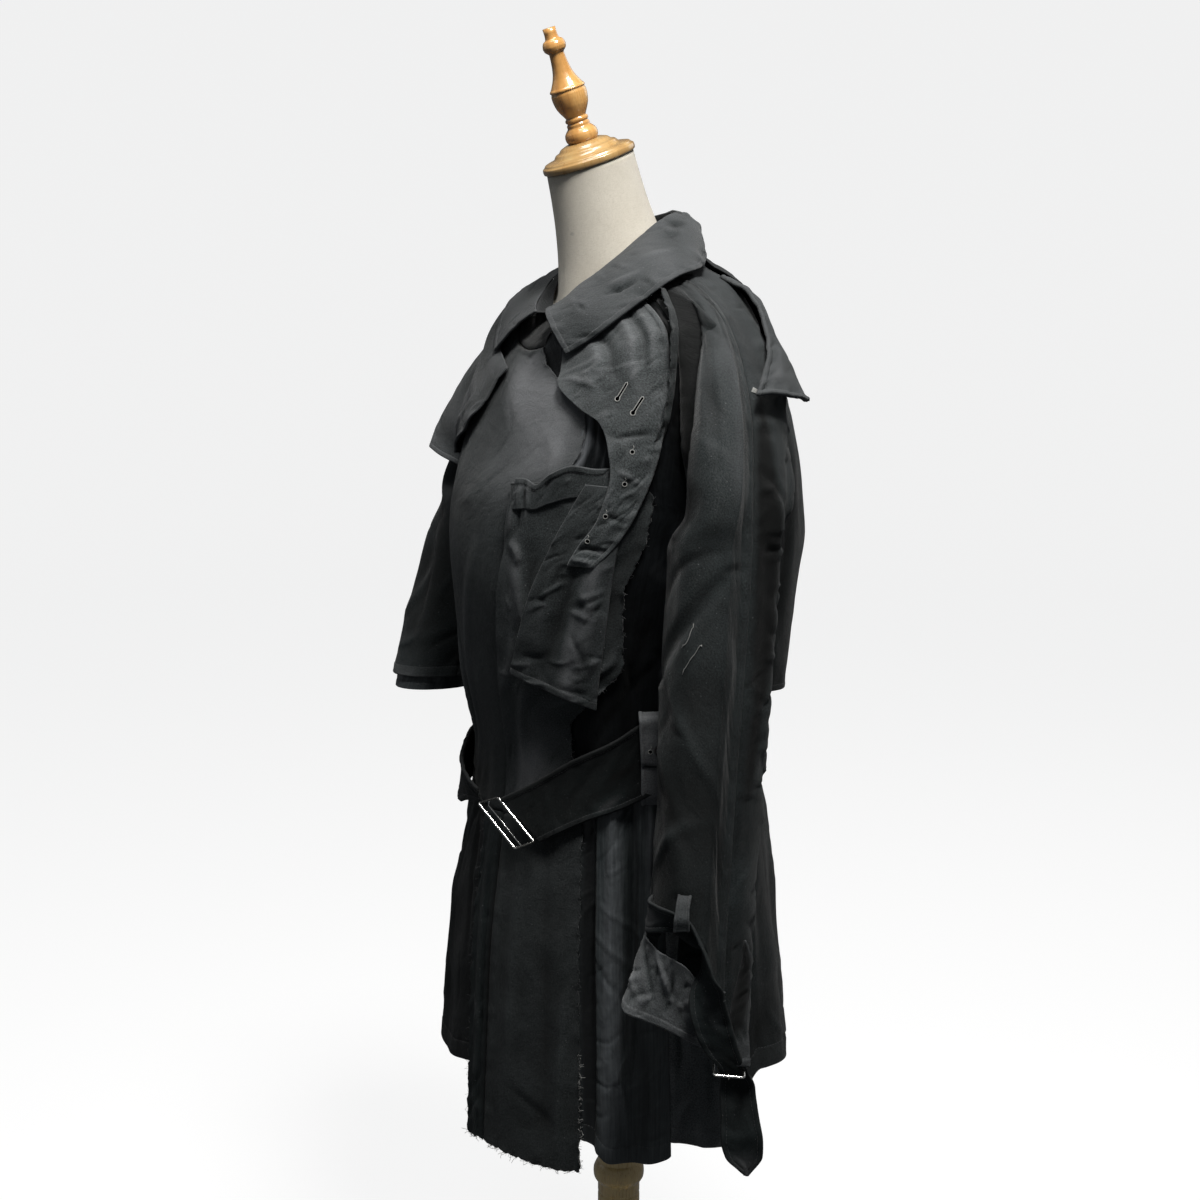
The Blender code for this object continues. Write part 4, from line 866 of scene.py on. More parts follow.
def back(u, v):
    turn = between(SIDE_TURN, CENTRE_TURN, u)
    low, high = BACK_HEM(turn), BACK_TOP(turn - 0.1) - 0.0003
    level = between(low, high, v)
    return body(turn, level, cinch(turn, level, 0.0009))


def ride_along(made, paint):
    """A piece that stands for no node of the frame."""
    made.data.materials.append(paint.material)
    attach(made, "root")


def dress(made, node, paint, rests_on=("form_torso_linen",)):
    """A finished sheet of cloth takes its node's place, if it has one."""
    if node is None:
        ride_along(made, paint)
    else:
        stand_for(made, node, paint)


BACK_EDGES = "sewn, sewn, hem 24, sewn"
# Painted shade: both back panels are painted deeper.
for hand, flip, seed in (("left", 1.0, 11), ("right", -1.0, 12)):
    made = cloth("back_panel_" + hand, lambda u, v: back(u, v) * [flip, 1.0, 1.0], BACK_EDGES,
                 step=0.0062, creases=BACK_CREASES, rumpled=(seed, 60, 80.0, 0.07, 0.011, 0.0012),
                 swell=(seed, 0.1, 0.0012), painted_tone=-0.55)
    dress(made, "back_" + hand, coat)

# ---- The linings that show on the left ----
# Black satin lining: the cut-away front leaves it bare at the chest and side, and again below
# the waist, where it hangs free to its own narrow stitched hem.


def satin(name, deep, lit, gloss):
    """Black satin, smooth and faintly blue, with drawn threads and fine pull lines, and painted light and
    shade:
    paler or deeper as each piece paints it, and paler along its edges, partly as wear and partly as a
    painted highlight.
    """
    silk = Paint(name, deep, 0.4, Specular_IOR_Level=gloss, Sheen_Weight=0.05)
    drawn_up = silk.noise(silk.place("UV", scale=(1.0, 0.04, 1.0)), 420.0, 3.0, 0.6)
    drawn_across = silk.noise(silk.place("UV", scale=(0.05, 1.0, 1.0)), 700.0, 2.0)
    cloudy = silk.noise(silk.place("Object"), 26.0, 3.0, 0.6)
    tone = silk.blend(((cloudy * 0.5 + drawn_up * 0.9 - 0.5) * 2.6).clipped(), deep, lit)
    # Painted light and shade: a pale satin highlight where a piece is painted lit, deeper where it is
    # painted shaded.
    painted_light_share = silk.mark("faded")
    pale = silk.blend(painted_light_share.clipped() * (drawn_up * 0.8 + 0.3), tone, (0.13, 0.138, 0.148))
    kept = silk.blend((painted_light_share * -1.0).clipped(), pale, tuple(c * 0.2 for c in deep))
    # Paler along the edges: partly wear, partly a painted highlight.
    worn_and_painted_light = silk.blend(silk.mark("worn") * 0.25, kept, (0.07, 0.074, 0.082))
    fine = silk.bump(drawn_up * 0.7 + drawn_across * 0.3, 0.0003, 0.7)
    crumple = silk.noise(silk.place("UV", scale=(1.0, 0.45, 1.0)), 110.0, 3.0, 0.5)
    silk.feed(Base_Color=worn_and_painted_light, Roughness=cloudy * 0.22 + 0.3, Normal=silk.bump(crumple, 0.003, 0.6, fine))
    return silk


lining = satin("black satin lining", (0.0066, 0.0094, 0.011), (0.033, 0.0395, 0.0408), 0.4)
# A darker copy of the satin that paints shade on the lining in the recess under the arm.
painted_shade_lining = satin("black satin lining, unfaded", (0.0007, 0.0011, 0.0015), (0.004, 0.005, 0.0058), 0.08)


def patched(rows, lift=0.0, bottom=None, dip=0.0):
    """A surface on the body between a left and a right edge, given row by row from its foot."""
    table = Table("key lt ll rt rl", [(k, *row) for k, row in zip(np.linspace(0, 1, len(rows)), rows)])

    def place(u, v):
        edge = table(v)
        turn = between(edge["lt"], edge["rt"], u)
        level = between(edge["ll"], edge["rl"], u)
        if bottom is not None:
            foot = table(np.zeros_like(u))
            straight = between(foot["ll"], foot["rl"], u)
            level = level + (bottom(between(foot["lt"], foot["rt"], u)) - straight) * (1 - v)
        level = level - dip * np.sin(math.pi * u) * v**4
        return body(turn, level, lift(u, v, turn, level) if callable(lift) else lift)

    return place


SIDE_ROWS = [
    (10.0, 0.85, 89.95, 0.92), (13.0, 0.96, 89.95, 1.0), (18.0, 1.06, 89.95, 1.08),
    (26.0, 1.18, 89.95, 1.184), (29.5, 1.22, 83.9, 1.198), (33.0, 1.252, 77.9, 1.228),
    (34.5, 1.285, 74.9, 1.265), (32.0, 1.335, 72.9, 1.305), (20.0, 1.376, 71.4, 1.35),
    (10.0, 1.41, 68.9, 1.398), (2.0, 1.447, 61.9, 1.459),
]
SIDE_CREASES = [(62, 5, 70, 30, 12, -3.5, 3), (80, 2, 78, 24, 10, 3, -2), (45, 8, 95, 30, 10, -2, 4),
                (30, 60, 34, 86, 7, 1.6, 2), (12, 58, 20, 80, 5, -1.4, -2)]
# Painted shade: the side lining takes the darker satin and is painted deeper under the arm and down to the
# waist, with a painted highlight on the satin by the chest's cut edge.
side_lining = cloth(
    "side_lining",
    patched(
        SIDE_ROWS, lambda u, v, t, z: cinch(t, z, 0.001) - 0.0022 * soft((48 - t) / 16),
        lambda t: waist(t) + SEAM,
    ),
    "raw, sewn, sewn, sewn", wall=0.0008, creases=SIDE_CREASES,
    rumpled=(21, 46, 88.0, 0.06, 0.006, 0.0012), swell=(21, 0.06, 0.0007),
    painted_light_rows=[(14, 58, 18, 74, 16, 1.6), (95, 55, 97, 105, 30, -1), (45, 50, 55, 10, 60, -0.8)],
)
dress(side_lining, "side_lining_left", painted_shade_lining)


def skirted(left, right, hem, lift=0.0):
    """A panel below the waist seam: left and right edges as (top turn, bottom turn)."""

    def place(u, v):
        turn = between(left[1], right[1], u) * (1 - v) + between(left[0], right[0], u) * v
        low, high = hem(u), waist(turn) - SEAM
        return body(turn, between(low, high, v), lift(u, v) if callable(lift) else lift)

    return place


LINING_CREASES = [
    (24, 104, 27, -5, 14, -8.5, 2, -0.5), (46, 100, 40, 2, 16, 6.2, 3, 0.4),
    (70, 98, 62, 20, 12, -5.2, 3, -0.3), (90, 100, 84, 30, 10, 4, -2), (30, 62, 86, 44, 6, 1.6, 4),
    (24, 56, 70, 38, 5, -1.4, 3), (34, 70, 90, 55, 5, 1.2, 3), (46, 28, 60, 6, 8, 2, 3),
    (78, 30, 74, 4, 8, -2.2, 2),
]
# Painted shade along the left edge under the facing's edge and towards the right, and a faint painted
# highlight down the middle.
skirt_lining = cloth(
    "skirt_lining",
    skirted(
        (38.5, 39.5), (72.0, 71.9),
        curve((0, 0.506), (0.22, 0.5), (0.45, 0.482), (0.75, 0.48), (1, 0.49)),
        lambda u, v: -0.0016 * soft((0.2 - u) / 0.1),
    ),
    "sewn, sewn, hem 20, sewn", step=0.0028, wall=0.0008, creases=LINING_CREASES,
    rumpled=(22, 60, 52.0, 0.045, 0.0045, 0.0006),
    painted_light_rows=[(17, 110, 22, -10, 17, -1), (46, 98, 38, 10, 20, 0.22), (80, 75, 72, -5, 30, -0.5)],
)
dress(skirt_lining, "skirt_lining_left", lining)

# ---- The bodice's front ----
# One chest panel of the same gabardine, cut away along a raw curve on the left, and the narrow
# facing that finishes the neck above it.

CHEST_ROWS = [
    (-89.8, 0.92, 14.0, 0.845), (-89.8, 1.0, 18.0, 0.96), (-89.8, 1.08, 23.0, 1.06),
    (-89.8, 1.184, 31.0, 1.18), (-83.4, 1.198, 34.5, 1.22), (-77.4, 1.228, 38.0, 1.252),
    (-74.4, 1.265, 40.5, 1.285), (-72.4, 1.305, 38.0, 1.335), (-70.9, 1.35, 26.0, 1.378),
    (-68.4, 1.398, 16.0, 1.412), (-63.3, 1.448, 7.0, 1.436),
]
CHEST_CREASES = [(70, 2, 78, 50, 16, 2.2, 6), (62, 2, 60, 34, 14, -2.4, -3), (50, 30, 62, 2, 20, 3, 6),
                 (30, 30, 42, 2, 18, -2.6, 5), (15, 40, 10, 10, 20, 2.6, 4), (86, 74, 96, 60, 16, 2, 4),
                 (88, 62, 97, 52, 10, -1.6, 3)]
# Painted light and shade: a broad painted highlight on the upper chest, a painted shadow along the top
# under the collar, and the rest painted a little deeper.
chest = cloth(
    "chest_panel_cloth",
    patched(CHEST_ROWS, lambda u, v, t, z: cinch(t, z, 0.0006), lambda t: waist(t) + SEAM, 0.01),
    "sewn, raw, sewn, sewn", creases=CHEST_CREASES, rumpled=(31, 26, 75.0, 0.06, 0.012, 0.0004),
    swell=(31, 0.09, 0.0009), painted_tone=-0.12,
    painted_light_rows=[(84, 102, 90, 64, 100, 1.9), (30, 60, 55, 60, 90, -0.15), (40, 100, 110, 100, 12, -1.2)],
)
dress(chest, "chest_panel", coat)
THROAT_FROM, THROAT_TO = -63.3, 7.0


def throat(turn):
    """The level of the neck's cut edge under the facing."""
    u = (turn - THROAT_FROM) / (THROAT_TO - THROAT_FROM)
    return 1.449 - 0.012 * u - 0.01 * np.sin(math.pi * u)


FACING_ROWS = [(THROAT_FROM, 1.449, THROAT_TO, 1.437), (-61.4, 1.4588, 7.5, 1.4588)]
# Painted shade: the facing is painted almost black for the shade inside the throat.
neck_facing = cloth("neck_facing_cloth", patched(FACING_ROWS, bottom=throat), "free, free, sewn, free",
                    step=0.004, painted_tone=-0.95)
dress(neck_facing, "neck_facing", coat)

# ---- The skirt's fronts ----
# The right front panel, the narrow strip of its facing, the long left facing that hangs with raw
# edges, and the left side panel. All are sewn to the bodice at the waist.

SKIRT_RIGHT_CREASES = [(20, 98, 16, 20, 20, 3, 6), (42, 100, 46, 30, 18, -3, 4),
                       (66, 100, 60, 10, 20, 2.6, -5), (84, 94, 88, 40, 12, -2, 3)]
# Painted shade: the right skirt front takes the darker gabardine and is painted deeper still.
skirt_right = cloth(
    "skirt_front_right",
    skirted(
        (-89.8, -89.8), (5.0, 7.0), curve((0, 0.535), (0.6, 0.522), (1, 0.552)),
        lambda u, v: 0.026 * (1 - v) ** 1.1 * (1 - u) * np.clip(4 * u, 0, 1),
    ),
    "sewn, free, hem 22, sewn", creases=SKIRT_RIGHT_CREASES, rumpled=(41, 40, 84.0, 0.06, 0.01, 0.0011),
    swell=(41, 0.09, 0.001), painted_tone=-0.85,
)
dress(skirt_right, "skirt_right", painted_shade)
# Painted shade: the strip takes the darker gabardine, with a painted shadow along its right edge.
strip = cloth(
    "front_strip_cloth", skirted((-2.0, 1.0), (9.85, 9.85), curve((0, 0.462), (1, 0.465)), 0.0034),
    "raw, sewn, raw, sewn", step=0.0036,
    creases=[(45, 95, 40, 5, 7, 2.2, 2), (75, 80, 72, 15, 6, -1.8, 1)],
    rumpled=(42, 20, 86.0, 0.05, 0.005, 0.0009), painted_light_rows=[(98, 110, 98, -10, 7, -1)],
)
dress(strip, "front_strip", painted_shade)
FACING_CREASES = [(6, 98, 10, 40, 6, 1.4, 2), (30, 95, 22, 10, 14, 1.6, 5), (62, 90, 66, 6, 16, -1.8, 4),
                  (88, 55, 80, 5, 10, 1.8, -2), (30, 20, 80, 10, 12, -1.2, 4)]
# Painted shade: the facing is painted deeper, with a painted shadow along its left edge.
facing = cloth(
    "front_facing",
    skirted((10.0, 10.0), (43.5, 45.0), curve((0, 0.465), (0.5, 0.462), (1, 0.466)), 0.0034),
    "sewn, raw, raw, sewn", step=0.0042, creases=FACING_CREASES,
    rumpled=(43, 34, 80.0, 0.05, 0.009, 0.0004), swell=(43, 0.07, 0.0007), painted_tone=-0.4,
    painted_light_rows=[(0, 110, 0, -10, 6, -0.7)],
)
dress(facing, "front_facing_left", coat)
# Painted light: the side panel takes the paler gabardine and is painted paler still.
skirt_side = cloth(
    "skirt_side", skirted((72.2, 72.0), (89.9, 89.9), curve((0, 0.506), (1, 0.492))),
    "sewn, sewn, hem 18, sewn", creases=[(40, 95, 30, 20, 10, 3, 3), (75, 90, 70, 10, 10, -2.8, 2)],
    rumpled=(44, 22, 84.0, 0.05, 0.007, 0.001), painted_tone=0.15,
)
dress(skirt_side, "skirt_side_left", faded)

# ---- The left front's layers ----
# A pocket patch hangs from a folded band; the placket lies over both, and the buttonhole piece
# falls from under the collar over the placket's top. All are cut free of the chest.

POCKET_ROWS = [(9.6, 0.856, 40.0, 0.864), (11.8, 0.95, 41.0, 0.948), (13.5, 1.0, 50.0, 0.985),
               (15.0, 1.045, 60.0, 1.03), (17.0, 1.1, 60.0, 1.1), (20.0, 1.16, 65.5, 1.16),
               (20.0, 1.222, 67.0, 1.212), (19.0, 1.238, 53.0, 1.238)]
POCKET_CREASES = [
    (5, 93, 4, 82, 3.5, 2.2, 0), (11, 94, 10, 83, 3, -2.2, 0), (16, 93, 16, 85, 2.8, 1.6, 0),
    (5, 80, 16, 74, 7, 3, 2), (10, 74, 26, 56, 14, 2.4, 4), (22, 78, 34, 50, 14, -2.6, 3),
    (16, 52, 5, 34, 12, 1.8, 3), (30, 98, 50, 90, 6, -1.4, 1), (86, 90, 80, 72, 12, 2.2, 3),
    (90, 64, 70, 48, 12, -2.8, 3), (95, 50, 82, 42, 9, 2.8, 1), (30, 40, 26, 4, 16, 1.4, 3),
]
# Painted light and shade: paler low down and at the upper left, deeper patches on its right.
pocket = cloth(
    "pocket_patch",
    patched(
        POCKET_ROWS, lambda u, v, t, z: 0.0056 - 0.002 * np.clip(1 - 12 * v, 0, 1),
        lambda t: waist(t) + SEAM,
    ),
    "free, raw, sewn, hem 7", step=0.0036, creases=POCKET_CREASES,
    rumpled=(51, 44, 60.0, 0.03, 0.006, 0.0007), swell=(51, 0.05, 0.0005),
    painted_light_rows=[
        (25, 0, 60, 20, 70, 1), (60, 80, 75, 55, 40, -0.35), (92, 48, 96, 86, 40, -0.45),
        (10, 82, 18, 55, 20, 0.3),
    ],
)
dress(pocket, "pocket_piece", coat)
BAND_ROWS = [(22.5, 1.201, 52.5, 1.222), (21.0, 1.243, 53.5, 1.25)]
BAND_CREASES = [(6, 0, 7, 100, 3.5, 1.8, 0), (12.5, 0, 12, 100, 3, -2, 0), (18, 0, 17.5, 95, 3.2, 2, 0),
                (30, 20, 42, 50, 7, -0.8, 1)]


def band_place(u, v):
    """The folded band, sagging off the chest between its gathered left end and its stitched right end."""
    flat_band = patched(BAND_ROWS, lambda u, v, t, z: 0.0078 + 0.006 * v * np.sin(math.pi * u) ** 2)(u, v)
    sag = 0.009 * np.exp(-(((u - 0.26) / 0.1) ** 2)) - 0.007 * np.exp(-(((u - 0.62) / 0.16) ** 2))
    return flat_band - np.stack([0 * u, 0 * u, sag * (0.35 + 0.65 * v)], -1)


band = cloth("pocket_band_cloth", band_place, "free, hem 7.5, free, hem 7.5", step=0.0026, wall=0.0018,
             creases=BAND_CREASES, rumpled=(52, 12, 20.0, 0.02, 0.004, 0.0005))
dress(band, "pocket_band", coat, rests_on=("pocket_patch",))
PLACKET_ROWS = [(23.0, 1.018, 51.0, 0.986), (30.0, 1.09, 55.0, 1.08), (37.5, 1.158, 57.5, 1.165),
                (46.0, 1.232, 60.5, 1.224)]
PLACKET_CREASES = [(50, 62, 36, 2, 15, -4.2, 2), (78, 66, 72, 2, 13, 3.4, 2), (18, 70, 24, 30, 9, 1.4, 2),
                   (30, 60, 20, 42, 6, -1, 1), (62, 30, 84, 16, 6, -1.2, 1),
                   (10, 44, 32, 42, 3.5, -0.7, 0), (60, 50, 86, 40, 6, 1, 1)]
# Painted light and shade: paler streaks down its middle and right, deeper on its upper left.
placket = cloth(
    "placket", patched(PLACKET_ROWS, lambda u, v, t, z: 0.0101 + 0.0065 * (1 - v)),
    "free, free, hem 8.5, free", step=0.0026, wall=0.0016, creases=PLACKET_CREASES,
    rumpled=(53, 60, 40.0, 0.024, 0.0045, 0.0007), swell=(53, 0.035, 0.0005),
    painted_light_rows=[
        (66, 2, 60, 42, 12, 0.75), (80, 72, 66, 50, 16, 0.45), (20, 50, 30, 85, 30, -0.3),
        (12, 10, 40, 12, 20, 0.2),
    ],
)
dress(placket, "placket_piece", coat, rests_on=("pocket_patch",))
BUTTONHOLE_ROWS = [
    (43.5, 1.141, 51.0, 1.14), (46.0, 1.16, 56.5, 1.162), (51.5, 1.195, 61.5, 1.195),
    (53.5, 1.236, 65.0, 1.23), (51.5, 1.27, 66.8, 1.262), (47.0, 1.305, 67.6, 1.295),
    (38.0, 1.332, 68.0, 1.335), (24.5, 1.386, 67.0, 1.375), (24.5, 1.415, 65.0, 1.405),
    (25.5, 1.44, 60.5, 1.44),
]
BUTTONHOLE_CREASES = [
    (70, 93, 66, 60, 8.5, 2, 2), (79, 92, 80, 64, 7, -2, 1), (88, 88, 84, 62, 6, 1.6, 1),
    (44, 86, 52, 66, 8, -2.6, 2), (34, 84, 38, 72, 9, 1.6, 2), (12, 72, 30, 66, 6, 1.4, 1),
    (10, 44, 80, 46, 5.5, -1.8, 1), (14, 34, 86, 30, 6, 1.4, 1), (10, 20, 85, 17, 5, -1.4, 1),
    (5, 7.5, 90, 5.5, 5.5, -3.2, 2), (10, 2.5, 90, 1, 5.5, 1.6, 1),
]


def buttonhole_lift(u, v, turn, level):
    return 0.0153 - 0.0088 * np.clip((v - 0.42) / 0.4, 0, 1) - 0.004 * u**3 * np.clip(v * 2, 0, 1)


# Painted light: the buttonhole piece takes the paler gabardine.
buttonhole_piece = cloth(
    "buttonhole_piece_cloth", patched(BUTTONHOLE_ROWS, buttonhole_lift), "free, hem 6.5, free, free",
    step=0.0026, wall=0.0018, creases=BUTTONHOLE_CREASES, rumpled=(54, 70, 30.0, 0.02, 0.0045, 0.0006),
    swell=(54, 0.04, 0.0006),
)
dress(buttonhole_piece, "buttonhole_piece", faded, rests_on=("placket",))

# ---- The collar ----
# A stand round the inside of the neck and a leaf folded over it, both doubled gabardine. The
# leaf's edge is turned and stitched, and its points lie on the chest.

LEAF_LIFT = 0.012  # how far the leaf's edge stands off the body
COLLAR = Table(
    "place fold_x fold_y fold_z edge_turn edge_level neck_turn",
    [
        (0.0, 0.0, 0.068, 1.512, 180.0, 1.452, 180.0), (0.25, 0.046, 0.054, 1.503, 146.0, 1.45, 140.0),
        (0.5, 0.072, 0.012, 1.478, 106.0, 1.436, 98.0), (0.75, 0.07, -0.045, 1.44, 68.0, 1.42, 56.0),
        (0.9, 0.044, -0.083, 1.412, 44.0, 1.412, 30.0), (1.0, 0.014, -0.101, 1.4, 29.0, 1.41, 8.0),
    ],
)
PROPPED = curve((0.0, 0.0), (0.25, 0.005), (0.5, 0.022), (0.75, 0.019), (0.9, 0.011), (1.0, 0.002))


def propped(place):
    """How much higher the fold stands on the wearer's left, where the leaf is propped up."""
    return np.where(place > 0, PROPPED(np.abs(place)), 0.0)


def collar_fold(place):
    """The table's row at a place, the line of the fold, and the factor that mirrors it to its side."""
    c = COLLAR(np.abs(place))
    side = np.stack([np.where(place < 0, -1.0, 1.0), np.ones_like(place), np.ones_like(place)], -1)
    return c, np.stack([c["fold_x"], c["fold_y"], c["fold_z"] + propped(place)], -1), side


def collar(place, drop):
    """The leaf: place -1 to 1 is round the neck, drop 0 the fold and 1 the outer edge."""
    c, fold_line, side = collar_fold(place)
    hug = np.where(place < 0, np.clip(-place / 0.5, 0, 1), 0.0)
    edge = body(c["edge_turn"], c["edge_level"], LEAF_LIFT - 0.003 * hug)
    line = between(fold_line, edge, drop[..., None])
    level_out = np.stack([c["fold_x"], c["fold_y"] + 0.02, 0 * place + 0.06], -1)
    rise = (0.009 - 0.006 * hug) * np.sin(math.pi * np.clip(drop, 0, 1)) ** 0.8
    return (line + unit(level_out) * rise[..., None]) * side


def collar_stand(place, rise):
    """The stand: rise 0 is its seam round the neck and 1 the fold."""
    c, fold_line, side = collar_fold(place)
    inward = unit(np.stack([c["fold_x"], c["fold_y"] + 0.02, 0 * place + 0.02], -1))
    neck = body(c["neck_turn"], 1.46 + 0 * place, 0.0)
    neck[..., 2] += 0.0024
    return between(neck, fold_line - inward * 0.0021, rise[..., None]) * side


COLLAR_CREASES = [
    (88.5, 42, 83.5, 30, 5, -3, 1), (87, 52, 82, 40, 6, 1.8, 1), (93.5, 66, 93, 40, 3.5, -1.6, 1),
    (70, 84, 66, 70, 8, -2.2, 1), (73, 70, 70, 60, 7, -1.4, 1), (80, 55, 74, 40, 7, 1.6, 1),
    (60, 70, 56, 40, 10, 1.6, 2), (45, 60, 40, 35, 10, -1.6, 2), (13, 60, 18, 38, 5, -2.2, 1),
    (30, 75, 33, 45, 8, 1.6, 1),
]
# Painted light: the collar leaf is painted a little paler.
leaf = cloth(
    "collar_leaf_cloth", lambda u, v: collar(2 * u - 1, 1 - v), "hem 7.5, hem 7.5, hem 7.5, free",
    inside=(0.0, 0.0, 1.4), step=0.003, wall=0.002, creases=COLLAR_CREASES,
    rumpled=(61, 70, 60.0, 0.022, 0.0055, 0.0007), swell=(61, 0.05, 0.0008), painted_tone=0.12,
)
dress(leaf, "collar_leaf", coat, rests_on=("buttonhole_piece_cloth",))
# Painted shade: the stand is painted almost black for the shade inside the neck.
neck_stand = cloth("collar_stand_cloth", lambda u, v: collar_stand(2 * u - 1, v),
                   "free, free, sewn, free", inside=(0.0, 0.0, 1.42), step=0.0034, wall=0.0016, painted_tone=-0.85)
dress(neck_stand, "collar_stand", coat, rests_on=("neck_facing_cloth",))

# ---- The sleeves ----
# Raglan sleeves in two halves, sewn along the top of the arm and underneath, a little woollier
# than the body. The right one is cut short at the elbow and shows its satin lining.

wool_sleeve = gabardine("black wool sleeving", (0.0032, 0.0052, 0.0055), (0.0285, 0.0352, 0.0364),
                        0.00046, 0.1)

SHOULDER_ROWS = [
    (0, 1.4595, 62.0, 1.4595, 140.0, 1.4595, 0.0, 0.1, 0.0, 1.45, 0.2, 0.0, 0.0, 0),
    (1, 1.447, 66.0, 1.435, 136.0, 1.438, 0.0, 0.15, 0.0, 1.44, 0.2, 0.0, 0.0, 0),
    (2, 1.423, 69.0, 1.398, 132.0, 1.41, 0.12, 0.195, 0.0, 1.428, 0.2, 0.006, 0.006, 0),
    (3, 1.39, 71.5, 1.35, 126.0, 1.372, 0.5, 0.238, -0.004, 1.398, 0.2, 0.02, 0.018, 0),
    (4, 1.35, 73.0, 1.305, 119.0, 1.32, 0.88, 0.272, -0.01, 1.345, 0.2, 0.038, 0.03, 0),
    (5, 1.31, 75.0, 1.265, 112.5, 1.275, 1.0, 0.294, -0.016, 1.285, 0.2, 0.047, 0.034, 0),
    (6, 1.27, 78.0, 1.228, 107.0, 1.235, 1.0, 0.305, -0.022, 1.235, 0.2, 0.055, 0.043, 0),
    (7, 1.23, 84.0, 1.198, 98.0, 1.2, 1.0, 0.31, -0.025, 1.2, 0.216, 0.061, 0.052, 0.3),
]
ARM_ROWS = [  # below the armpit both seams have left the body
    (0.312, -0.027, 1.16, 0.218, 0.064, 0.058), (0.313, -0.032, 1.08, 0.22, 0.064, 0.06),
    (0.314, -0.04, 0.98, 0.222, 0.062, 0.06), (0.313, -0.046, 0.88, 0.224, 0.06, 0.058),
    (0.313, -0.052, 0.78, 0.222, 0.061, 0.056), (0.314, -0.057, 0.68, 0.218, 0.064, 0.056),
    (0.315, -0.06, 0.63, 0.216, 0.066, 0.056),
]
SLEEVE = Table(
    "row top_level front_turn front_level back_turn back_level arm"
    " out_x out_y out_z in_x front_bulge back_bulge under",
    SHOULDER_ROWS + [
        (row, 1.2, 90.0, 1.186, 90.0, 1.186, 1.0, *arm, 1) for row, arm in enumerate(ARM_ROWS, 8)
    ],
)
# Each main fold's half of the sleeve, across and row of its two ends, half width and depth.
LEFT_TROUGHS = [
    ("front", 0.36, 2.3, 0.56, 7.6, 0.1, 0.005), ("front", 0.1, 8.2, 0.62, 9.5, 0.1, -0.006),
    ("front", 0.62, 9.6, 0.28, 11.6, 0.12, 0.005), ("back", 0.16, 5.2, 0.2, 10.2, 0.09, 0.0055),
    ("back", 0.34, 5.6, 0.32, 10.6, 0.1, -0.008), ("back", 0.2, 8.6, 0.7, 9.3, 0.14, -0.006),
    ("back", 0.75, 9.6, 0.3, 10.3, 0.14, -0.006), ("back", 0.25, 10.4, 0.7, 11.3, 0.14, -0.005),
    ("back", 0.5, 11.2, 0.52, 13.4, 0.14, 0.005),
]
RIGHT_TROUGHS = [("front", 0.3, 6.8, 0.62, 10.2, 0.14, -0.007),
                 ("front", 0.52, 6.5, 0.3, 10.2, 0.12, 0.004),
                 ("back", 0.4, 6.5, 0.55, 10.2, 0.14, -0.007), ("back", 0.2, 8.4, 0.7, 9.1, 0.14, -0.004)]
ROW_PER_ACROSS = 1.1
DEEP_FOLD = Table(
    "row middle depth",
    [
        (1.5, 0.47, 0.0), (2.4, 0.5, 0.018), (3.5, 0.58, 0.03), (4.7, 0.61, 0.034), (6.0, 0.66, 0.032),
        (7.2, 0.74, 0.024), (8.8, 0.8, 0.0),
    ],
)


def deep_fold(across, row):
    """The left sleeve's long fold, from the shoulder down: sharp in front, easy towards the chest."""
    line = DEEP_FOLD(row)
    away = across - line["middle"]
    before = np.sin(np.clip(1 + away / 0.11, 0, 1) * math.pi / 2)
    beyond = np.cos(np.clip(away / 0.42, 0, 1) * math.pi / 2) ** 0.8
    return line["depth"] * np.where(away < 0, before, beyond) * np.clip((1 - across) / 0.15, 0, 1)


def trough(rows, half, across, row):
    """How far the sleeve's main folds stand out of one half of it here."""
    total = 0.0 * (across + row)
    for on, across_0, row_0, across_1, row_1, half_width, depth in rows:
        if on != half:
            continue
        run = np.array([across_1 - across_0, (row_1 - row_0) / ROW_PER_ACROSS])
        place = np.stack([across - across_0, (row - row_0) / ROW_PER_ACROSS], -1)
        share = np.clip(place @ run / (run @ run), 0, 1)
        away = np.linalg.norm(place - share[..., None] * run, axis=-1)
        swell = 0.35 + 0.65 * np.sin(math.pi * np.clip(share, 0.06, 0.94))
        total = total + depth * swell * np.cos(np.clip(away / half_width, 0, 1) * math.pi / 2) ** 2
    return total * np.clip((1 - across) / 0.15, 0, 1)


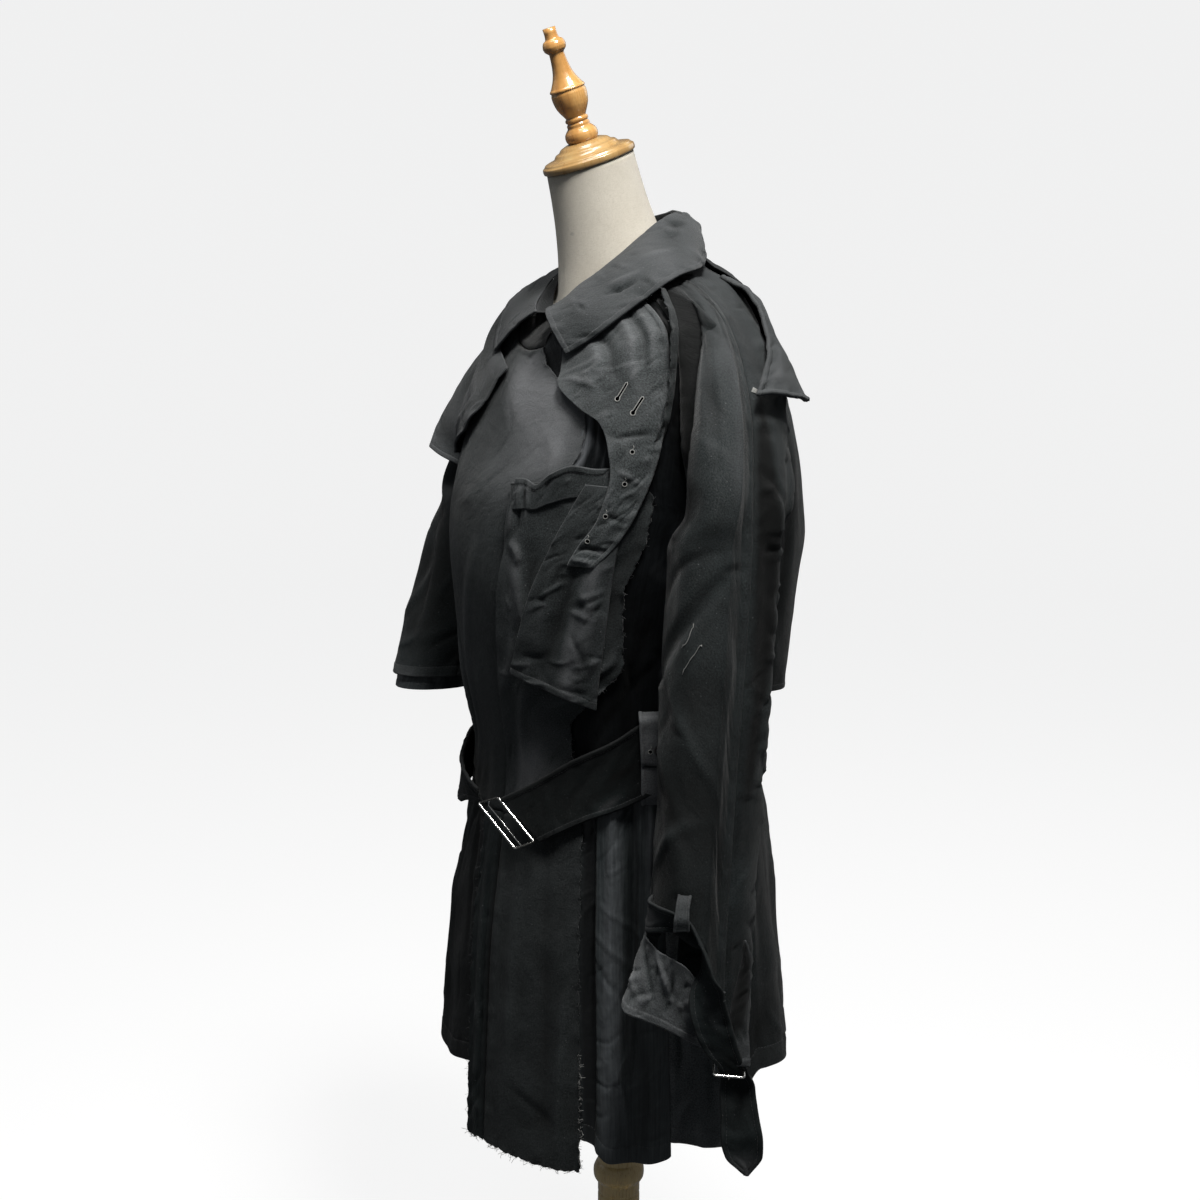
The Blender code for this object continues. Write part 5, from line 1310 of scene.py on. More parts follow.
def sleeve(half, across, row, troughs, swing=0.0, sunk=None):
    """The wearer's left sleeve: across 0 is the over-arm line, 1 the raglan or underarm seam."""
    s = SLEEVE(row)
    front = half == "front"
    side = -1.0 if front else 1.0
    seam_turn, seam_level = s[half + "_turn"], s[half + "_level"]
    a = across[..., None]
    on_body = body(between(90, seam_turn, across), between(s["top_level"], seam_level, across))
    out = np.stack([s["out_x"], s["out_y"], s["out_z"]], -1)
    inner = np.stack([s["in_x"], s["out_y"], s["out_z"]], -1)
    under = np.clip(s["under"], 0, 1)[..., None]
    seam = body(seam_turn, seam_level) * (1 - under) + inner * under
    away = np.stack([0.5 * (1 - under[..., 0]), side * np.ones_like(row), 0 * row], -1)
    arm = np.clip(s["arm"], 0, 1)[..., None]
    share = a + arm * ((1 - np.cos(math.pi * a)) / 2 - a)
    swell = unit(away) * s[half + "_bulge"][..., None] * np.sin(math.pi * a)
    grid = on_body * (1 - arm) + (between(out, seam, share) + swell) * arm
    outward = unit(grid - between(out, seam, 0.5)) * [1, 1, 0.3]
    out_by = trough(troughs, half, across, row)
    if sunk is not None:
        out_by = out_by - sunk(across, row)
    grid = grid + unit(outward) * out_by[..., None]
    grid[..., 1] -= swing * np.clip(1.22 - grid[..., 2], 0, None)
    return grid


OVER_ARM, UNDER_ARM, SLEEVE_HEAD = 0.0012, 0.997, 0.06
RIGHT_SWING = 0.24  # how far the right sleeve hangs forward, for each metre down


def half_sleeve(half, last, troughs, flip=1.0, swing=0.0, sunk=None):
    def place(u, v):
        foot = last(u) if callable(last) else last
        row = between(foot, SLEEVE_HEAD, v)
        return sleeve(half, between(OVER_ARM, UNDER_ARM, u), row, troughs, swing, sunk) * [flip, 1.0, 1.0]

    return place


ARM = (0.262, -0.03, 0.95)
FRONT_CREASES = [(44, 86, 36, 60, 10, -2, 4), (18, 80, 24, 52, 12, 1.4, 3), (30, 50, 62, 42, 10, -1.8, 6),
                 (55, 34, 20, 20, 12, 1.8, 6), (70, 30, 36, 12, 10, -2, 6), (30, 16, 62, 6, 9, 2, 4),
                 (82, 20, 60, 2, 9, -2.2, 3), (12, 40, 16, 10, 10, 1.2, 4)]
BACK_SLEEVE_CREASES = [
    (6, 66, 30, 60, 9, -2.6, 3), (10, 58, 42, 50, 10, 2.6, 4), (40, 60, 72, 54, 10, -2.6, 4),
    (15, 47, 50, 41, 10, -2.8, 4), (55, 46, 85, 38, 12, 2.4, 4), (20, 37, 60, 33, 10, -2.2, 4),
    (30, 26, 70, 20, 12, 2.2, 5), (15, 14, 50, 8, 12, -2, 4),
]


def front_hem(u):
    """The front half ends above the cuff, and runs on down beside the over-arm seam."""
    return 12.05 + 0.16 * soft((0.36 - u) / 0.22) + 0.75 * soft((0.13 - u) / 0.09)


# Painted light and shade: painted shade in the deep fold by the raglan seam and lower down, a painted
# highlight near the top of the arm, and the whole half painted a little deeper.
left_front = cloth(
    "sleeve_left_front_cloth", half_sleeve("front", front_hem, LEFT_TROUGHS, sunk=deep_fold),
    "sewn, sewn, sewn, sewn", ARM, creases=FRONT_CREASES, rumpled=(71, 50, 80.0, 0.05, 0.009, 0.0006),
    swell=(71, 0.08, 0.0009), painted_tone=-0.22,
    painted_light_rows=[
        (84, 94, 72, 50, 55, -2.2), (70, 76, 78, 30, 45, -1.6), (28, 92, 22, 46, 60, 0.28),
        (50, 34, 50, -10, 120, -0.6), (40, 102, 40, 80, 110, -0.3),
    ],
)
dress(left_front, "sleeve_left_front", wool_sleeve)
# Painted shade: the back half is painted deeper, with a painted shadow beside the over-arm seam.
left_back = cloth(
    "sleeve_left_back_cloth", half_sleeve("back", 13.6, LEFT_TROUGHS), "sewn, sewn, hem 20, sewn", ARM,
    creases=BACK_SLEEVE_CREASES, rumpled=(72, 130, 15.0, 0.035, 0.0065, 0.0012), swell=(72, 0.08, 0.001),
    painted_tone=-0.3, painted_light_rows=[(9.5, 72, 11.5, 40, 16, -2.4), (11.5, 42, 8, 28, 11, -1.2)],
)
dress(left_back, "sleeve_left_back", wool_sleeve)
RIGHT_EDGES = "sewn, sewn, hem 13, sewn"
RIGHT_ARM = (-0.262, -0.09, 1.1)
# Painted light and shade: the right sleeve's front is painted deeper, with painted light at its hem.
right_front = cloth(
    "sleeve_right_front_cloth", half_sleeve("front", 10.3, RIGHT_TROUGHS, -1.0, RIGHT_SWING), RIGHT_EDGES,
    RIGHT_ARM, rumpled=(73, 50, 75.0, 0.05, 0.009, 0.0011), swell=(73, 0.08, 0.001), painted_tone=-0.6,
    painted_light_rows=[(0, 0, 100, 0, 70, 1)],
    creases=[(30, 40, 60, 28, 10, -2.2, 5), (60, 24, 30, 10, 12, 2.2, 4), (20, 20, 24, 2, 10, -1.8, 2)],
)
dress(right_front, "sleeve_right_front", wool_sleeve)
# Painted shade: the right sleeve's back is painted deeper.
right_back = cloth(
    "sleeve_right_back_cloth", half_sleeve("back", 10.3, RIGHT_TROUGHS, -1.0, RIGHT_SWING), RIGHT_EDGES,
    RIGHT_ARM, rumpled=(74, 50, 30.0, 0.05, 0.009, 0.0011), swell=(74, 0.08, 0.001), painted_tone=-0.5,
    creases=[(20, 36, 60, 28, 12, -2.6, 5), (30, 20, 70, 14, 12, 2.4, 4)],
)
dress(right_back, "sleeve_right_back", wool_sleeve)
LINING_SHARE, LINING_TOP, LINING_FOOT = 0.89, 8.6, 10.47


def lining_tube(u, v):
    """The right sleeve's lining, open along a slit at the over-arm line."""
    around, row = 0.03 + 1.94 * u, between(LINING_FOOT, LINING_TOP, v)
    tube = np.where((around < 1)[..., None],
                    sleeve("front", np.clip(around, 0, 1), row, RIGHT_TROUGHS, RIGHT_SWING),
                    sleeve("back", np.clip(2 - around, 0, 1), row, RIGHT_TROUGHS, RIGHT_SWING))
    axis = (tube.max(axis=1, keepdims=True) + tube.min(axis=1, keepdims=True)) / 2
    axis = axis * [1, 1, 0] + tube * [0, 0, 1]
    return between(axis, tube, LINING_SHARE) * [-1.0, 1.0, 1.0]


sleeve_lining = cloth("sleeve_lining_right", lining_tube, "free, free, hem 10, sewn",
                      (-0.262, -0.12, 1.02), wall=0.0008, rumpled=(75, 50, 85.0, 0.04, 0.006, 0.001))
dress(sleeve_lining, "sleeve_right_lining", lining,
      rests_on=("sleeve_right_front_cloth",))

ALLOWANCE = Table(
    "v turn level out",
    [
        (0.0, 66.5, 1.262, 0.003), (0.18, 69.5, 1.3, 0.009), (0.4, 70.5, 1.335, 0.006),
        (0.62, 71.2, 1.37, 0.011), (0.82, 72.5, 1.405, 0.007), (1.0, 74.0, 1.428, 0.003),
    ],
)


def allowance(u, v):
    """The raglan seam's allowance, a narrow raw strip that stands out between the front and the sleeve."""
    at = ALLOWANCE(v)
    return body(at["turn"] - 2.6 * u, at["level"] + 0.003 * u, 0.003 + (0.004 + at["out"]) * u)


# Painted shade: the allowance is painted a little deeper.
seam_allowance = cloth("raglan_seam_allowance", allowance, "sewn, raw, free, free", step=0.0026,
                       wall=0.0012, rumpled=(76, 40, 70.0, 0.014, 0.004, 0.0005), painted_tone=-0.2)
dress(seam_allowance, None, wool_sleeve, rests_on=("side_lining",))

# ---- The shoulder pieces ----
# Doubled epaulettes on both shoulders, the storm cape over the back and the storm flap on the
# right front. Each is sewn at its top and hangs free to a turned and stitched edge.


FINE_CELLS = 96


def drawn(stack):
    """A surface drawn smoothly through a small grid of points."""
    fine = through(through(stack, FINE_CELLS + 1).swapaxes(0, 1), FINE_CELLS + 1).swapaxes(0, 1)

    def place(u, v):
        a, b = np.clip(u, 0, 1) * FINE_CELLS, np.clip(v, 0, 1) * FINE_CELLS
        i, j = np.minimum(a.astype(int), FINE_CELLS - 1), np.minimum(b.astype(int), FINE_CELLS - 1)
        s, t = (a - i)[..., None], (b - j)[..., None]
        return (
            fine[j, i] * (1 - s) * (1 - t) + fine[j, i + 1] * s * (1 - t) + fine[j + 1, i] * (1 - s) * t
            + fine[j + 1, i + 1] * s * t
        )

    return place


def lifted(grid, lift, away_from):
    """A grid moved along its normals, on the side that faces away from a point."""
    normals = unit(normals_of(grid))
    side = np.sign(np.sum(normals * (grid - np.array(away_from))))
    return grid + normals * side * np.asarray(lift)[..., None]


SHOULDER = (0.1, 0.0, 1.2)
FIRST_ROW, LAST_ROW = 1.45, 4.55
STRAP_SPAN = Table(
    "row first last",
    [
        (1.45, 0.72, 1.0), (2.3, 0.66, 0.97), (3.2, 0.42, 0.84), (4.0, 0.15, 0.72), (4.3, 0.06, 0.68),
        (4.55, 0.01, 0.56),
    ],
)
row, share = np.meshgrid(np.linspace(FIRST_ROW, LAST_ROW, 10), np.linspace(0, 1, 7), indexing="ij")
span = STRAP_SPAN(row)
across = between(span["first"], span["last"], share)
down = (row - FIRST_ROW) / (LAST_ROW - FIRST_ROW)
epaulette = lifted(
    sleeve("back", across, row, []),
    0.003 + 0.0085 * soft(down / 0.3) + (0.004 + 0.009 * share) * down**4, SHOULDER,
)[::-1]
EPAULETTE_CREASES = [(20, 10, 30, 40, 12, 1.4, 2), (70, 12, 60, 34, 12, -1.2, 2),
                     (40, 50, 60, 80, 14, 1, 3)]
for hand, flip, seed in (("left", 1.0, 81), ("right", -1.0, 82)):
    made = cloth(
        "shoulder_strap_" + hand, drawn(epaulette * [flip, 1.0, 1.0]), "hem 6.5, hem 6.5, hem 6.5, free",
        (0.1 * flip, 0.0, 1.2), step=0.0034, wall=0.0032, creases=EPAULETTE_CREASES,
        rumpled=(seed, 20, 70.0, 0.03, 0.007, 0.0006), swell=(seed, 0.05, 0.0006),
    )
    dress(made, "epaulette_" + hand, coat,
          rests_on=("sleeve_%s_back_cloth" % hand,))

CAPE_FOOT, CAPE_TOP = 0.985, 1.446
CAPE_LIFT = 0.0065
CAPE = Table(
    "level edge hang",
    [
        (0.985, 113.0, 0.031), (1.06, 113.0, 0.034), (1.15, 113.0, 0.034), (1.21, 113.0, 0.031),
        (1.275, 115.0, 0.022), (1.32, 121.0, 0.016), (1.372, 128.0, 0.0115), (1.41, 134.0, 0.0095),
        (1.446, 141.0, 0.008),
    ],
)


def cape(u, v):
    level = between(CAPE_FOOT, CAPE_TOP, v)
    c = CAPE(level)
    turn = c["edge"] + (360 - 2 * c["edge"]) * u
    free = soft(np.minimum(turn - c["edge"], 360 - c["edge"] - turn) / 20)
    dip = 0.01 * np.cos((u - 0.5) * math.pi) ** 2 * (1 - v) ** 3
    return body(turn, level - dip, between(CAPE_LIFT, c["hang"], free))


CAPE_CREASES = [(20, 90, 16, 6, 22, 4, 6), (34, 80, 32, 2, 20, -3.6, 6), (50, 86, 47, 4, 24, 3.6, -6),
                (64, 70, 68, 2, 20, -3.6, 5), (80, 90, 84, 8, 22, 4, 6), (10, 60, 6, 10, 12, -2.4, 3),
                (92, 62, 95, 12, 12, -2.4, 3)]
# Painted shade: the cape is painted deeper.
back_cape = cloth("storm_cape", cape, "hem 7.5, hem 7.5, hem 7.5, sewn", step=0.006, creases=CAPE_CREASES,
                  rumpled=(83, 60, 85.0, 0.06, 0.01, 0.001), swell=(83, 0.1, 0.0014), painted_tone=-0.55)
dress(back_cape, "back_cape", coat,
      rests_on=("back_panel_left", "back_panel_right"))

FLAP = Table(
    "key inner_turn inner_level row outer",
    [
        (0.0, 13.0, 1.408, 1.7, 0.03), (0.25, 13.5, 1.385, 2.4, 0.05), (0.5, 14.5, 1.35, 3.3, 0.08),
        (0.8, 21.0, 1.305, 4.8, 0.2), (1.0, 40.0, 1.242, 6.5, 0.42),
    ],
)
v, u = np.meshgrid(np.linspace(0, 1, 10), np.linspace(0, 1, 9), indexing="ij")
flap = FLAP(v)
seam = SLEEVE(flap["row"])
part = np.clip(u / 0.5, 0, 1)
on_chest = body(between(flap["inner_turn"], seam["front_turn"], part),
                between(flap["inner_level"], seam["front_level"], part))
part = np.clip((u - 0.5) / 0.5, 0, 1)
on_arm = sleeve("front", between(1, flap["outer"], part), flap["row"], [], RIGHT_SWING)
under = np.where((u <= 0.5)[..., None], on_chest, on_arm)
for _ in range(3):
    under[:, 1:-1] = (under[:, :-2] + 2 * under[:, 1:-1] + under[:, 2:]) / 4
flap_lift = (
    0.0052 + 0.0065 * np.sin(math.pi * u) + 0.006 * np.clip(v * 1.6, 0, 1)
    + 0.022 * np.clip(v - 0.55, 0, 1) * 2.2 * u
)
flap_grid = lifted(under, flap_lift, (0.1, 0.1, 1.2))[::-1] * [-1.0, 1.0, 1.0]
# Painted light and shade: the flap is painted paler, with the painted light held back at its top and along
# its sides.
storm_flap = cloth(
    "storm_flap", drawn(flap_grid), "hem 7.5, hem 7.5, hem 8.5, free", (-0.1, 0.1, 1.2), step=0.0042,
    wall=0.0018, swell=(84, 0.07, 0.0012), rumpled=(84, 30, 70.0, 0.04, 0.008, 0.0008), painted_tone=0.22,
    painted_light_rows=[(30, 110, 80, 80, 90, -0.9), (100, 45, 100, 110, 45, -0.9), (0, 45, 0, 110, 45, -0.3)],
    creases=[(20, 60, 30, 4, 14, 3, 4), (42, 50, 46, 2, 14, -2.8, 3), (70, 60, 66, 5, 16, 2.8, 4)],
)
dress(storm_flap, "storm_flap_right", coat,
      rests_on=("chest_panel_cloth",))

# ---- The belt ----
# Doubled gabardine stitched near both edges, held at the sides by buttoned loops. The right end
# swings free off the body, and the plated buckle hangs from the left end.

BELT = Table(
    "turn low high low_lift high_lift lag",
    [
        (29, 0.827, 0.866, 0.0085, 0.022, 14), (36, 0.84, 0.892, 0.01, 0.0135, 9),
        (45, 0.856, 0.921, 0.01, 0.011, 5), (57, 0.872, 0.95, 0.0096, 0.0096, 0),
        (70, 0.89, 0.974, 0.0093, 0.0093, 0), (90, 0.9, 0.98, 0.009, 0.009, 0),
        (130, 0.898, 0.972, 0.009, 0.009, 0), (180, 0.892, 0.964, 0.009, 0.009, 0),
        (230, 0.882, 0.953, 0.009, 0.009, 0), (270, 0.862, 0.936, 0.009, 0.009, 0),
        (292, 0.85, 0.922, 0.0095, 0.0095, 0), (312, 0.839, 0.907, 0.0105, 0.01, 0),
        (330, 0.833, 0.895, 0.014, 0.014, 0), (345, 0.838, 0.888, 0.019, 0.022, 0),
        (356, 0.85, 0.88, 0.023, 0.029, 0), (366, 0.856, 0.872, 0.026, 0.034, 0),
    ],
)
BELT_FIRST, BELT_LAST = 29, 366  # the turns of its two ends


def belted(u, v):
    turn = between(BELT_FIRST, BELT_LAST, u)
    b = BELT(turn)
    return body(turn - b["lag"] * v, between(b["low"], b["high"], v),
                between(b["low_lift"], b["high_lift"], v))


# Painted light and shade: the belt takes the darker gabardine and is painted deeper, with a pool of painted
# light by the left loop and a painted shadow line beside it.
belt = cloth(
    "belt_cloth", belted, "free, free, hem 6, hem 6", step=0.0036, wall=0.0026,
    rumpled=(91, 70, 50.0, 0.03, 0.008, 0.0004), swell=(91, 0.07, 0.0005), painted_tone=-0.7,
    painted_light_rows=[(8.5, 5, 12.5, 20, 16, 1.5), (10.5, 50, 13.5, 50, 6, -0.9)],
    creases=[(4.5, 15, 10, 80, 10, -1, 2), (12, 90, 8, 20, 10, 0.8, 2)],
)
dress(belt, "belt", painted_shade,
      rests_on=("back_panel_left", "back_panel_right"))


def rod(path, radius, closed=True, sides=10):
    """A round bar bent along a path of points."""
    path = np.asarray(path, float)
    ahead = np.roll(path, -1, 0) - np.roll(path, 1, 0)
    if not closed:
        ahead[0], ahead[-1] = path[1] - path[0], path[-1] - path[-2]
    ahead = unit(ahead)
    plane = unit(np.cross(path[1] - path[0], path[len(path) // 3] - path[0]) + 1e-9)
    beside = unit(np.cross(ahead, plane))
    above = np.cross(beside, ahead)
    turn = np.linspace(0, 2 * math.pi, sides, endpoint=False)[None, :, None]
    ring = path[:, None] + (beside[:, None] * np.cos(turn) + above[:, None] * np.sin(turn)) * radius
    many = len(path)
    faces = ring_faces(many, sides, closed)
    if not closed:
        faces += [tuple(range(sides))[::-1], tuple(range((many - 1) * sides, many * sides))]
    return ring.reshape(-1, 3), faces


def buckle(name, centre, wide, tall, size, thick, bar):
    """A rounded rectangular frame of plated rod, with its bar across."""
    wide, tall = np.array(wide, float), np.array(tall, float)
    wide = unit(wide)
    tall = unit(tall - wide * (tall @ wide))
    half_w, half_h, bend = size[0] / 2 - thick / 2, size[1] / 2 - thick / 2, thick * 1.1
    outline = []
    for x, y, first in (
        (half_w, half_h, 0), (-half_w, half_h, 90), (-half_w, -half_h, 180), (half_w, -half_h, 270),
    ):
        middle = np.array([x - math.copysign(bend, x), y - math.copysign(bend, y)])
        for a in np.radians(np.linspace(first, first + 90, 7)):
            outline.append(middle + bend * np.array([math.cos(a), math.sin(a)]))
    outline = np.array(outline)
    outline = np.concatenate([outline, outline[:1]])
    length = np.concatenate([[0], np.linalg.norm(np.diff(outline, axis=0), axis=1).cumsum()])
    at = np.unique(np.concatenate([length[:-1], np.linspace(0, length[-1], 60)[:-1]]))
    at = at[np.concatenate([[True], np.diff(at) > 1e-5])]
    outline = np.stack([np.interp(at, length, outline[:, i]) for i in (0, 1)], -1)
    path = np.array(centre) + outline[:, :1] * wide + outline[:, 1:] * tall
    points, faces = rod(path, thick / 2)
    behind = unit(np.cross(wide, tall)) * bar[1]
    ends = np.array([[-half_h, 0], [-half_h * 0.92, 1], [half_h * 0.92, 1], [half_h, 0]])
    across = np.array(centre) + bar[0] * wide + ends[:, :1] * tall + ends[:, 1:] * behind
    bar_points, bar_faces = rod(across, thick * 0.26, closed=False)
    faces += [tuple(i + len(points) for i in face) for face in bar_faces]
    return piece(name, np.concatenate([points, bar_points]), faces)


plate = Paint("bright plated steel", (0.74, 0.73, 0.7), 0.22, Metallic=1.0)
tarnish = plate.noise(plate.place("Object"), 160.0, 3.0, 0.6)
scratch = plate.noise(plate.place("Object", scale=(1.0, 0.1, 0.3)), 1800.0, 2.0)
plate.feed(
    Base_Color=plate.blend(
        ((tarnish - 0.52) * 4.0).clipped() * 0.5, (0.78, 0.77, 0.74), (0.46, 0.44, 0.4),
    ),
    Roughness=scratch * 0.18 + 0.14, Normal=plate.bump(tarnish, 0.00012, 0.5),
)
belt_buckle = buckle("plated_belt_buckle", (0.0804, -0.1891, 0.8489), (-0.0116, 0.03, 0.0),
                     (0.048, 0.024, -0.041), (0.034, 0.07), 0.0026, (0.002, 0.006))
stand_for(belt_buckle, "belt_buckle", plate)

horn = Paint("black horn button", (0.016, 0.016, 0.018), 0.35, Specular_IOR_Level=0.5, Coat_Roughness=0.2)
cloud = horn.noise(horn.place("Object"), 260.0, 3.0, 0.6, 1.2)
horn.feed(Base_Color=horn.blend(cloud, (0.012, 0.012, 0.014), (0.05, 0.047, 0.045)),
          Roughness=cloud * 0.2 + 0.25, Coat_Weight=cloud * 0.4)

loops = {}
for hand, flip, level, top, foot in (
    ("left", 1.0, 0.936, 0.0032, 0.0032), ("right", -1.0, 0.889, 0.0021, 0.0036),
):
    height = np.array([0.043, 0.04, 0.036, 0.016, -0.004, -0.012, -0.016, -0.036, -0.052, -0.06])[:, None]
    lift = np.array([top, 0.007, 0.013, 0.015, 0.0156, 0.015, 0.012, 0.0118, 0.0084, foot])[:, None]
    turn = 69.6 + np.array([-5.0, 0.0, 3.8])[None, :]
    loop_grid = body(turn + 0 * height, level + height + 0 * turn, lift + 0 * turn)[::-1] * [flip, 1.0, 1.0]
    # Painted light and shade: the loops take the paler gabardine and are painted paler, with a painted
    # shadow across their middle.
    loop = cloth("loop_cloth_" + hand, drawn(loop_grid), "hem 4.5, hem 4.5, free, free", step=0.0022,
                 wall=0.002, rumpled=(92, 14, 80.0, 0.015, 0.005, 0.0004), painted_tone=0.6,
                 painted_light_rows=[(0, 42, 100, 42, 3.5, -1.6)])
    loops[hand] = loop
    dress(loop, "belt_loop_" + hand, faded, rests_on=("belt_cloth",))
    at = body(70.8, level + 0.004, 0.0143)
    out = unit(body(70.8, level + 0.004, 0.02) - at) * [flip, 1.0, 1.0]
    at = at * [flip, 1.0, 1.0]
    made = spin(
        "horn_button_" + hand,
        [
            (0.006, 0.0001), (0.0073, 0.0006), (0.0076, 0.0014), (0.0074, 0.0023), (0.0066, 0.0029),
            (0.0056, 0.0027), (0.005, 0.0019), (0.002, 0.0017),
        ],
        40, at, out,
    )
    stand_for(made, "belt_button_" + hand, horn)

# ---- The left cuff ----
# A flared cuff piece, hanging open, with a strap that runs through a narrow keeper, folds over
# and falls through a plated buckle to a pointed tail.

WRIST = (0.262, -0.05, 0.7)
CUFF_TOP = [(0.224, -0.078, 0.766), (0.239, -0.104, 0.764), (0.2585, -0.1166, 0.761),
            (0.2705, -0.1145, 0.754), (0.287, -0.108, 0.747), (0.302, -0.097, 0.74), (0.308, -0.08, 0.72),
            (0.3135, -0.0551, 0.708)]
CUFF_FOOT = [(0.221, -0.085, 0.7), (0.235, -0.122, 0.695), (0.262, -0.1453, 0.6884), (0.276, -0.13, 0.68),
             (0.29, -0.112, 0.672), (0.304, -0.083, 0.654), (0.31, -0.072, 0.652),
             (0.3142, -0.0582, 0.6515)]
share = np.linspace(0, 1, 6)[:, None, None]
cuff_grid = (np.array(CUFF_TOP)[None] * (1 - share) + np.array(CUFF_FOOT)[None] * share)[::-1]
CUFF_CREASES = [(40, 90, 52, 30, 6, -2.4, 2), (52, 95, 64, 40, 6, 2.6, 2), (25, 60, 45, 20, 6, 1.6, 2),
                (65, 80, 60, 20, 5, -2.4, 1), (80, 70, 74, 20, 6, 1.8, 1)]
# Painted light: the cuff takes the paler gabardine and is painted paler still.
cuff = cloth("cuff", drawn(cuff_grid), "free, free, hem 9, free", WRIST, step=0.0024, wall=0.002,
             creases=CUFF_CREASES, rumpled=(94, 70, 50.0, 0.018, 0.0042, 0.0009),
             swell=(94, 0.03, 0.0006), painted_tone=0.2)
dress(cuff, "cuff_left", faded, rests_on=("sleeve_left_back_cloth",))

RETURN = [
    ((0.3227, -0.0373, 0.7636), (0.3269, -0.0377, 0.765)),
    ((0.3244, -0.0401, 0.7467), (0.3329, -0.0367, 0.7489)),
    ((0.3234, -0.0456, 0.7234), (0.3356, -0.0395, 0.7264)),
    ((0.3243, -0.0527, 0.6981), (0.3383, -0.0433, 0.7011)),
    ((0.3258, -0.0568, 0.6783), (0.3414, -0.0465, 0.6819)),
    ((0.3291, -0.0577, 0.6646), (0.3446, -0.0456, 0.6678)),
    ((0.3363, -0.0564, 0.6368), (0.3484, -0.0464, 0.6393)),
]
key = np.linspace(0, 1, len(RETURN))
RETURNED = Table("v ax ay az bx by bz", [(k, *a, *b) for k, (a, b) in zip(key, RETURN)])


def returned(u, v):
    """The cuff's other end, curled out behind the arm so that its inside shows."""
    at = RETURNED(1 - v)
    inner = np.stack([at["ax"], at["ay"], at["az"]], -1)
    outer = np.stack([at["bx"], at["by"], at["bz"]], -1)
    return between(inner, outer, u[..., None])


# Painted light and shade: the cuff end is painted paler, with a dark painted shadow on the inside of its
# curl.
cuff_end = cloth("cuff_end", returned, "free, free, hem 9, free", WRIST, step=0.0024, wall=0.0018,
                 rumpled=(96, 26, 70.0, 0.018, 0.004, 0.0005), painted_tone=0.3,
                 painted_light_rows=[(10, 110, 30, 30, 18, -6)])
dress(cuff_end, None, coat, rests_on=("sleeve_left_back_cloth",))

FACING_VIEW = (0.5, 0.866, 0.0)
STRAP = [
    ((0.2372, -0.0972, 0.789), (0.15, 0.26, 0.95), 0.038),
    ((0.2572, -0.1103, 0.7878), (-0.0316, 0.2702, 0.9567), 0.038),
    ((0.27, -0.12, 0.7875), (0, 0, 1), 0.032), ((0.29, -0.1125, 0.788), (0.2, -0.1, 0.9), 0.026),
    ((0.3045, -0.0892, 0.779), (0.7, -0.42, 0.6), 0.024),
    ((0.3126, -0.0865, 0.7692), (0.85, -0.48, 0.2), 0.024),
    ((0.3183, -0.084, 0.7585), (0.86, -0.46, 0.12), 0.026),
    ((0.323, -0.0824, 0.7392), (0.92, -0.25, 0.1), 0.032),
    ((0.3251, -0.0842, 0.7105), (0.72, 0.68, 0.12), 0.036),
    ((0.3289, -0.0792, 0.681), (0.5, 0.866, 0.06), 0.037),
    ((0.3325, -0.07, 0.6534), (0.5, 0.866, 0.04), 0.033), ((0.3352, -0.0593, 0.634), FACING_VIEW, 0.027),
    ((0.3307, -0.0491, 0.6087), FACING_VIEW, 0.034), ((0.3367, -0.05, 0.5808), FACING_VIEW, 0.037),
    ((0.3439, -0.0516, 0.5567), FACING_VIEW, 0.041), ((0.345, -0.0497, 0.5383), FACING_VIEW, 0.036),
    ((0.3475, -0.0476, 0.5198), FACING_VIEW, 0.003),
]


def ribbon(rows):
    """A strap along a line of points, each with the direction and width of the strap there."""
    key = np.linspace(0, 1, len(rows))
    line = Table(
        "key x y z a b c width",
        [(k, *m, *unit(np.array(d, float)), w) for k, (m, d, w) in zip(key, rows)],
    )

    def place(u, v):
        at = line(v)
        centre = np.stack([at["x"], at["y"], at["z"]], -1)
        side = unit(np.stack([at["a"], at["b"], at["c"]], -1))
        return centre + side * (at["width"] * (u - 0.5))[..., None]

    return place


# Painted light and shade: the strap takes the darker gabardine, painted paler at both ends and in the
# middle, deeper in between.
strap = cloth(
    "cuff_strap", ribbon(STRAP), "hem 6, hem 6, free, free", (0.262, -0.03, 0.66), step=0.0026,
    wall=0.0022, rumpled=(95, 40, 70.0, 0.02, 0.006, 0.0004), swell=(95, 0.05, 0.0004),
    painted_light_rows=[
        (50, 52, 50, 88, 34, -0.7), (50, 93, 50, 112, 26, 1.1), (50, -6, 50, 14, 30, 2),
        (60, 44, 50, 64, 20, 0.5),
    ],
)
dress(strap, "cuff_strap_left", painted_shade,
      rests_on=("cuff",))
KEEPER = [
    ((0.2934, -0.0906, 0.8206), (0.5, 0.866, 0.05), 0.0125),
    ((0.3007, -0.0967, 0.8132), (0.5, 0.866, 0.05), 0.0125),
    ((0.3072, -0.1031, 0.8029), (0.5, 0.866, 0.05), 0.0125),
    ((0.3101, -0.1061, 0.7911), (0.5, 0.866, 0.05), 0.014),
    ((0.3098, -0.1058, 0.7812), (0.5, 0.866, 0.05), 0.015),
]
# Painted light: the keeper is painted very slightly paler.
keeper = cloth("cuff_keeper", ribbon(KEEPER), "hem 3, hem 3, free, free", (0.28, -0.05, 0.79),
               step=0.0016, wall=0.0018, painted_tone=0.05)
dress(keeper, "cuff_keeper_left", coat, rests_on=("cuff_strap",))
cuff_buckle = buckle("cuff_buckle", (0.3303, -0.0602, 0.633), (0.5008, 0.8617, -0.0821),
                     (-0.5096, 0.8573, 0.0728), (0.034, 0.036), 0.0028, (0.0, -0.004))
stand_for(cuff_buckle, "cuff_buckle_left", plate)

